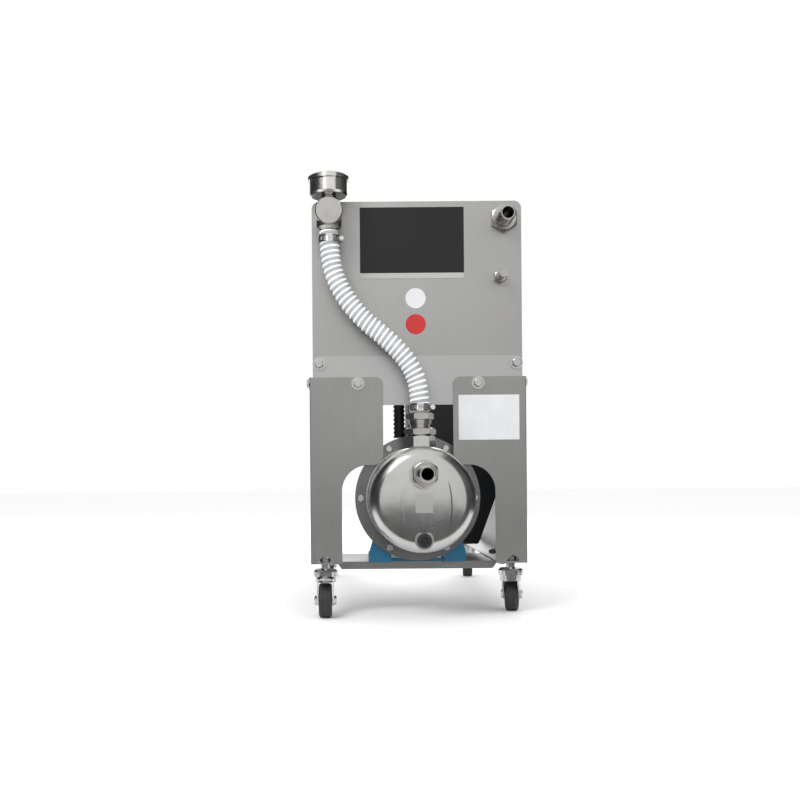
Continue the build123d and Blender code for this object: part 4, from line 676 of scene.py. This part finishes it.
# %% [markdown]
# ## The spiral hose
# A suction hose is a soft grey wall with a stiff white spiral moulded round it, which keeps it
# from being sucked flat. It could be a plain tube with a striped picture, but the ribs show at
# its outline. So the surface is a grid along and round the hose line, and its radius rises
# wherever a helix passes. The same rise is stored as an attribute, which tells the material
# where the white spiral is. The inner wall closes the shell.

# %% Hose shape
HOSE_PITCH = 0.0088
HOSE_WALL_R = 0.0148
HOSE_RIB = 0.0014
HOSE_BORE_R = 0.01255
HOSE_COLUMNS = 72
ROWS_PER_TURN = 14
RIB_WIDTH = 0.3
BORE_ROWS = 80


def helix_rise(travel, angle, pitch, width):
    """How high a helical rib stands, from 0 to 1: the distance from the nearest pass of the
    helix, in turns, becomes half a cosine wave inside the rib's width and 0 outside it."""
    turns = travel / pitch - angle / (2 * math.pi)
    offset = np.abs(turns - np.round(turns)) / width
    return np.where(offset < 1, np.cos(offset * math.pi / 2) ** 2, 0.0)


def along_line(line, travel):
    """Points and unit tangents at distances along a line of points."""
    steps = np.linalg.norm(np.diff(line, axis=0), axis=1)
    reached = np.concatenate([[0], np.cumsum(steps)])
    place = np.stack([np.interp(travel, reached, line[:, k]) for k in range(3)], -1)
    tangent = np.gradient(place, travel, axis=0)
    return place, tangent / np.linalg.norm(tangent, axis=1)[:, None]


hose_angle = np.linspace(0, 2 * math.pi, HOSE_COLUMNS, endpoint=False)
outer_travel = np.linspace(0, hose_length, int(hose_length / HOSE_PITCH * ROWS_PER_TURN))
inner_travel = np.linspace(hose_length, 0, BORE_ROWS)
outer_rise = helix_rise(outer_travel[:, None], hose_angle[None, :], HOSE_PITCH, RIB_WIDTH)
travel = np.concatenate([outer_travel, inner_travel])
hose_rise = np.concatenate([outer_rise, np.zeros((len(inner_travel), HOSE_COLUMNS))])
outer_radius = HOSE_WALL_R + HOSE_RIB * outer_rise
inner_radius = np.full((len(inner_travel), HOSE_COLUMNS), HOSE_BORE_R)
radius = np.concatenate([outer_radius, inner_radius])
outer_place, outer_tangent = along_line(hose_line, outer_travel)
inner_place, inner_tangent = (
    np.stack([np.interp(inner_travel, outer_travel, outer[:, k]) for k in range(3)], -1)
    for outer in (outer_place, outer_tangent)
)
place = np.concatenate([outer_place, inner_place])
tangent = np.concatenate([outer_tangent, inner_tangent])
side_on = np.array((0.0, -1.0, 0.0))
in_plane = np.cross(tangent, side_on)
spoke = (
    np.cos(hose_angle)[None, :, None] * side_on
    + np.sin(hose_angle)[None, :, None] * in_plane[:, None, :]
)
hose_points = (place[:, None, :] + radius[..., None] * spoke).reshape(-1, 3)
hose_faces = outward(hose_points, ring_faces(len(travel), HOSE_COLUMNS))
print("hose surface:", len(hose_points), "points,", len(hose_faces), "faces")

# %% Hose material
hose_skin, tree, shader = start_finish("hose_skin", Metallic=0.0)
shader.inputs["Coat Weight"].default_value = 0.3
rib = add_node(tree, "Attribute")
rib.attribute_name = "rib"
patches = effect(tree, soft_patches, Size=35.0)
whiteness = between(tree, rib.outputs["Fac"], 0.0, 1.0, 0.1, 0.45)
wall_colour = tinted(tree, patches, (0.3, 0.315, 0.33), (0.4, 0.415, 0.43))
rib_colour = tinted(tree, patches, (0.8, 0.81, 0.82), (0.88, 0.88, 0.88))
tree.links.new(mixed(tree, whiteness, wall_colour, rib_colour), shader.inputs["Base Color"])
tree.links.new(between(tree, rib.outputs["Fac"], 0.25, 0.38, 0.0, 1.0), shader.inputs["Roughness"])
add_bump(tree, shader, patches, distance=0.0002, strength=0.3)

spiral_hose = make_piece("spiral_hose", hose_points, hose_faces, hose_skin)
rib_values = spiral_hose.data.attributes.new("rib", "FLOAT", "POINT")
rib_values.data.foreach_set("value", hose_rise.reshape(-1))
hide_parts("hose")
print("spiral hose made, with", round(hose_length / HOSE_PITCH), "turns of rib")

# %% [markdown]
# ## Threaded nipples
# A pipe thread is a fine helical V. It is the same idea as the hose: a spun outline whose
# radius follows a helix between the mouth and the thread's end. The mouth has a small chamfer,
# and the nipple's bore closes the shape.

# %% Thread shape
THREAD_PITCH = 0.0018
THREAD_DEPTH = 0.0011
ROWS_PER_THREAD = 10
MOUTH_CHAMFER = 0.0016
NIPPLE_R = 0.0132
NIPPLE_BORE_R = 0.0098
THREAD_COLUMNS = 96
THREAD_END_GAP = 0.0002
UNDERCUT_STEP = 0.0001
CROWN_FACE = 0.95
CROWN_ANGLE = math.radians(30)
CROWN_ROWS = 8


def nipple_outline(thread_length, shank):
    """Distances and radii of a nipple from its mouth. The threaded run's radius is the nipple's
    less the thread's depth times a V wave, and the chamfer limits it near the mouth. The shank's
    (distance, radius) corners follow, and the bore leads back to the mouth."""
    angle = np.linspace(0, 2 * math.pi, THREAD_COLUMNS, endpoint=False)[None, :]
    count = int(thread_length / THREAD_PITCH * ROWS_PER_THREAD)
    travel = np.linspace(0, thread_length, count)[:, None]
    turns = travel / THREAD_PITCH - angle / (2 * math.pi)
    valley = 2 * np.abs(turns - np.round(turns))
    fading = np.clip((thread_length - travel) / THREAD_PITCH, 0, 1)
    threaded = NIPPLE_R - THREAD_DEPTH * valley * fading
    threaded = np.minimum(threaded, NIPPLE_R - MOUTH_CHAMFER + travel)
    shank_travel = np.array([corner[0] for corner in shank])
    shank_radius = np.array([corner[1] for corner in shank])
    rest = np.repeat(shank_radius[:, None], THREAD_COLUMNS, axis=1)
    bore = np.full((2, THREAD_COLUMNS), NIPPLE_BORE_R)
    distance = np.concatenate([travel[:, 0], shank_travel, [shank_travel[-1], 0.0]])
    return distance, np.concatenate([threaded, rest, bore])


def hexagon_outline(length, flats, bore, columns=96):
    """Distances and radii of a spanner hexagon with a bore. Round the axis its radius is half
    the flats over the cosine of the angle from the nearest flat's middle. A cone of 30 degrees
    turns the corners back at both ends."""
    angle = np.linspace(0, 2 * math.pi, columns, endpoint=False)
    from_flat = (angle + math.pi / 6) % (math.pi / 3) - math.pi / 6
    prism = flats / 2 / np.cos(from_flat)
    corner = flats / math.sqrt(3)
    face = CROWN_FACE * flats / 2
    rise = (corner - face) * math.tan(CROWN_ANGLE)
    first_crown = np.linspace(0, rise, CROWN_ROWS)
    travel = np.concatenate([first_crown, first_crown + length - rise])
    from_end = np.minimum(travel, length - travel)[:, None]
    cone = face + from_end / math.tan(CROWN_ANGLE)
    outer = np.minimum(prism[None, :], cone)
    ends = np.full((2, columns), bore)
    return np.concatenate([travel, [length, 0.0]]), np.concatenate([outer, ends])


# %% Delivery nipple
nipple_low, nipple_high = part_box("outlet_nipple")
locknut_low, locknut_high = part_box("outlet_locknut")
outlet_centre = ((nipple_low + nipple_high) / 2).to_tuple()
outlet_mouth = (outlet_centre[0], nipple_low.y, outlet_centre[2])
thread_length = locknut_low.y - nipple_low.y - THREAD_END_GAP
UNDER_NUT_R = 0.0125
SPIGOT_R = 0.012
plate_front = locknut_high.y - nipple_low.y
distance, radius = nipple_outline(
    thread_length,
    [
        (thread_length + UNDERCUT_STEP, UNDER_NUT_R),
        (plate_front, UNDER_NUT_R),
        (plate_front, SPIGOT_R),
        (nipple_high.y - nipple_low.y, SPIGOT_R),
    ],
)
points, faces = lathe(distance, radius, outlet_mouth, FRONT_TO_BACK, THREAD_COLUMNS)
delivery_nipple = make_piece(
    "delivery_nipple", points, faces, turned["outlet_nipple"], sharp_angle=30
)
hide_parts("outlet_nipple")
print("delivery nipple:", len(faces), "faces")

# %% Suction nipple and its hexagon
adapter_low, adapter_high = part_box("inlet_adapter")
HEX_LENGTH = 0.012
HEX_FLATS = 0.038
INLET_SPIGOT_LENGTH = 0.014
INLET_SPIGOT_R = 0.0115
inlet_mouth = (0.0, adapter_low.y, ((adapter_low + adapter_high) / 2).z)
whole = adapter_high.y - adapter_low.y
hex_start = whole - INLET_SPIGOT_LENGTH - HEX_LENGTH
hex_end = hex_start + HEX_LENGTH
shank = [(hex_end, NIPPLE_R), (hex_end, INLET_SPIGOT_R), (whole, INLET_SPIGOT_R)]
distance, radius = nipple_outline(hex_start, shank)
points, faces = lathe(distance, radius, inlet_mouth, FRONT_TO_BACK, THREAD_COLUMNS)
suction_nipple = make_piece(
    "suction_nipple", points, faces, turned["inlet_adapter"], sharp_angle=30
)
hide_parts("inlet_adapter")
distance, radius = hexagon_outline(HEX_LENGTH, HEX_FLATS, NIPPLE_R)
hex_place = (inlet_mouth[0], inlet_mouth[1] + hex_start, inlet_mouth[2])
points, faces = lathe(distance, radius, hex_place, FRONT_TO_BACK)
suction_hexagon = make_piece(
    "suction_hexagon", points, faces, turned["inlet_adapter"], sharp_angle=25
)
print("suction nipple:", len(faces), "faces in its hexagon")

# %% [markdown]
# ## Caster wheels
# Each wheel is one moulding: a hub, a sunk web with six spokes, a rim and a tread with two fine
# grooves. It is a spun outline again. Where the web is, the distance along the axle also
# depends on the angle, so the spokes stand up out of it. The axle's place and direction come
# from the wheel's own joint.

# %% Wheel shape
WHEEL_COLUMNS = 144
SPOKES = 6
SPOKE_WIDTH = 0.22
WEB_INNER_R = 0.0098
WEB_OUTER_R = 0.0192
SPOKE_RISE = 0.0028
HALF_OUTLINE = [
    (0.0115, 0.0042), (0.0115, 0.0084), (0.0111, 0.0088), (0.0080, 0.0092), (0.0074, 0.0098),
    (0.0070, 0.0120), (0.0068, 0.0145), (0.0070, 0.0170), (0.0074, 0.0192), (0.0082, 0.0198),
    (0.0104, 0.0202), (0.0110, 0.0208), (0.0110, 0.0240), (0.0107, 0.0256), (0.0100, 0.0269),
    (0.0090, 0.0278), (0.0078, 0.0284), (0.0062, 0.0285), (0.0048, 0.0285), (0.0046, 0.0279),
    (0.0040, 0.0279), (0.0038, 0.0285),
]
half = np.array(HALF_OUTLINE)
outline = np.concatenate([half, half[::-1] * (-1, 1)])
angle = np.linspace(0, 2 * math.pi, WHEEL_COLUMNS, endpoint=False)
from_spoke = np.abs((angle * SPOKES / (2 * math.pi) + 0.5) % 1 - 0.5) / SPOKE_WIDTH
spoke_shape = np.where(from_spoke < 1, np.cos(from_spoke * math.pi / 2) ** 0.5, 0.0)
in_web = (outline[:, 1] >= WEB_INNER_R) & (outline[:, 1] <= WEB_OUTER_R)
facing = np.sign(outline[:, 0]) * in_web
wheel_distance = outline[:, :1] + SPOKE_RISE * facing[:, None] * spoke_shape[None, :]

for joint in frame["joints"]:
    if not joint["name"].endswith("_roll"):
        continue
    corner_name = joint["name"].removesuffix("_roll")
    points, faces = lathe(
        wheel_distance, outline[:, 1], joint["pos_m"], joint["axis"], WHEEL_COLUMNS
    )
    wheel = make_piece(
        corner_name + "_moulded_wheel", points, faces, wheel_rubber, joint["child"], 35
    )
    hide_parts(corner_name + "_wheel")
    print(wheel.name, "rides on", joint["child"])

# %% [markdown]
# ## Hose clamp bands
# A worm-drive band has a row of slanted slots that the screw bites into. A thin sleeve with
# those slots sunk into it lies round the solid band, from one side of the worm housing to the
# other. It is a strip: its cross section goes up the outside and down the inside, and it is
# carried round the hose.

# %% Slotted bands
BAND_R = 0.0173
BAND_COVER = 0.00035
BAND_HEIGHT = 0.0104
SLOT_PITCH = math.radians(11)
SLOT_SLANT = 60.0
SLOT_HALF = 0.2
SLOT_REACH = 0.36
SLOT_FLOOR = 0.1
BAND_SINK = 0.0002
BAND_START = math.radians(50)
BAND_END = math.radians(310)
band_angle = np.linspace(BAND_START, BAND_END, 360)[:, None]
up = np.linspace(-0.5, 0.5, 9)[None, :] * BAND_HEIGHT
slot_phase = (band_angle + SLOT_SLANT * up) / SLOT_PITCH
near_slot = np.abs(slot_phase - np.round(slot_phase)) < SLOT_HALF
in_slot = near_slot & (np.abs(up) < SLOT_REACH * BAND_HEIGHT)
outside = BAND_R + BAND_COVER * np.where(in_slot, SLOT_FLOOR, 1.0)
inside = np.full_like(outside, BAND_R - BAND_SINK)
section_radius = np.concatenate([outside, inside[:, ::-1]], axis=1)
section_up = np.broadcast_to(np.concatenate([up, up[:, ::-1]], axis=1), section_radius.shape)
clamp_low, clamp_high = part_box("hose_clamps")
BAND_HALF = 0.006
clamp_places = {
    "upper_band": (hose_line[0][0], clamp_high.z - BAND_HALF),
    "lower_band": (hose_line[-1][0], clamp_low.z + BAND_HALF),
}
for name, (x, z) in clamp_places.items():
    grid = np.stack(
        [
            x + section_radius * np.cos(band_angle),
            HOSE_DEPTH + section_radius * np.sin(band_angle),
            z + section_up,
        ],
        -1,
    )
    points, faces = capped_strip(grid)
    band = make_piece(name, points, faces, bright_stainless, sharp_angle=20)
    print(name, "at height", round(z, 4))

# %% [markdown]
# ## Pressed creases on the pump's front
# The domed front has two shallow upright creases, one each side of the middle, that stiffen the
# thin sheet. Each is a low ridge laid on the dome: a strip whose top follows the dome's sphere
# and stands a little in front of it, and whose ends sink into it.

# %% Dome creases
PUMP_Z = 0.198
DOME_NOSE_Y = PANEL_FRONT - 0.095
DOME_SPHERE_R = 0.3417
CREASE_HALF_HEIGHT = 0.042
CREASE_HALF_WIDTH = 0.0032
CREASE_RISE = 0.0006
CREASE_SINK = 0.0004
CREASE_BULGE = 0.006
CREASE_CLEAR = 0.00002
CREASE_CENTRES = {"left_crease": -0.029, "right_crease": 0.036}
CREASE_DROP = 0.010
down_crease = np.linspace(-1, 1, 60)[:, None]
over_crease = np.linspace(-1, 1, 17)[None, :]
for name, centre_x in CREASE_CENTRES.items():
    x = (
        centre_x
        + math.copysign(CREASE_BULGE, centre_x) * (1 - down_crease**2)
        + CREASE_HALF_WIDTH * over_crease
    )
    z = np.broadcast_to(PUMP_Z - CREASE_DROP + CREASE_HALF_HEIGHT * down_crease, x.shape)
    away_squared = x**2 + (z - PUMP_Z) ** 2
    dome = DOME_NOSE_Y + DOME_SPHERE_R - np.sqrt(DOME_SPHERE_R**2 - away_squared)
    rise = CREASE_RISE * (1 - over_crease**2) ** 2 * np.sqrt(1 - down_crease**2)
    front = np.stack([x, dome - rise + CREASE_CLEAR, z], -1)
    back = np.stack([x, dome + CREASE_SINK, z], -1)
    points, faces = capped_strip(np.concatenate([front, back[:, ::-1]], axis=1))
    crease = make_piece(name, points, faces, pressed_stainless, sharp_angle=60)
    print(name, "stands", CREASE_RISE * 1000, "mm proud")

# %% [markdown]
# ## The gauge's dial
# The dial faces up, with eleven long marks, short marks between them and plain numbers from 0
# to 10. The marks are thin raised bars, all worked out at once: each bar's eight corners are
# the same box turned to the mark's angle. The numbers are text turned into a mesh.

# %% Dial marks
dial_low, dial_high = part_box("gauge_dial")
dial_x = (dial_low.x + dial_high.x) / 2
dial_y = (dial_low.y + dial_high.y) / 2
DIAL_START = math.radians(225)
DIAL_SWEEP = math.radians(270)
DIAL_NUMBERS = 11
MARKS_BETWEEN = 5
MARK_OUTER_R = 0.0272
LONG_MARK_INNER_R = 0.0238
SHORT_MARK_INNER_R = 0.0254
LONG_MARK_HALF = 0.00035
SHORT_MARK_HALF = 0.00018
MARK_HEIGHT = 0.00012
mark_index = np.arange((DIAL_NUMBERS - 1) * MARKS_BETWEEN + 1)
is_long = mark_index % MARKS_BETWEEN == 0
mark_angle = DIAL_START - DIAL_SWEEP * mark_index / mark_index[-1]
mark_inner = np.where(is_long, LONG_MARK_INNER_R, SHORT_MARK_INNER_R)
mark_half = np.where(is_long, LONG_MARK_HALF, SHORT_MARK_HALF)
corner_radius = np.stack([mark_inner, np.full(len(mark_index), MARK_OUTER_R)], -1)[:, [0, 1, 1, 0]]
corner_side = mark_half[:, None] * np.array((-1, -1, 1, 1))
cosine, sine = np.cos(mark_angle)[:, None], np.sin(mark_angle)[:, None]
mark_x = dial_x + corner_radius * cosine - corner_side * sine
mark_y = dial_y + corner_radius * sine + corner_side * cosine
low_corners = np.stack([mark_x, mark_y, np.full_like(mark_x, dial_high.z)], -1)
high_corners = low_corners + (0, 0, MARK_HEIGHT)
points = np.concatenate([low_corners, high_corners], axis=1).reshape(-1, 3)
BOX_FACES = np.array(
    [(0, 3, 2, 1), (4, 5, 6, 7), (0, 1, 5, 4), (1, 2, 6, 5), (2, 3, 7, 6), (3, 0, 4, 7)]
)
quads = (BOX_FACES[None] + 8 * mark_index[:, None, None]).reshape(-1, 4)
dial_marks = make_piece("dial_marks", points, outward(points, quads), dial_ink)
print("dial marks:", len(mark_index))

# %% Dial numbers
NUMBER_R = 0.0198
NUMBER_SIZE = 0.0046
for value in range(DIAL_NUMBERS):
    curve = bpy.data.curves.new("number", "FONT")
    curve.body = str(value)
    curve.size = NUMBER_SIZE
    curve.align_x = "CENTER"
    curve.align_y = "CENTER"
    curve.extrude = MARK_HEIGHT / 2
    holder = bpy.data.objects.new("number", curve)
    number_mesh = bpy.data.meshes.new_from_object(holder)
    bpy.data.objects.remove(holder)
    number_angle = DIAL_START - DIAL_SWEEP * value / (DIAL_NUMBERS - 1)
    shift = (
        dial_x + NUMBER_R * math.cos(number_angle),
        dial_y + NUMBER_R * math.sin(number_angle),
        dial_high.z + MARK_HEIGHT / 2,
    )
    corners = np.zeros(len(number_mesh.vertices) * 3)
    number_mesh.vertices.foreach_get("co", corners)
    number_mesh.vertices.foreach_set("co", (corners.reshape(-1, 3) + shift).reshape(-1))
    number_mesh.materials.append(dial_ink)
    number = bpy.data.objects.new(f"dial_number_{value}", number_mesh)
    scene.collection.objects.link(number)
    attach(number, "unit")
print("numbers 0 to", DIAL_NUMBERS - 1)
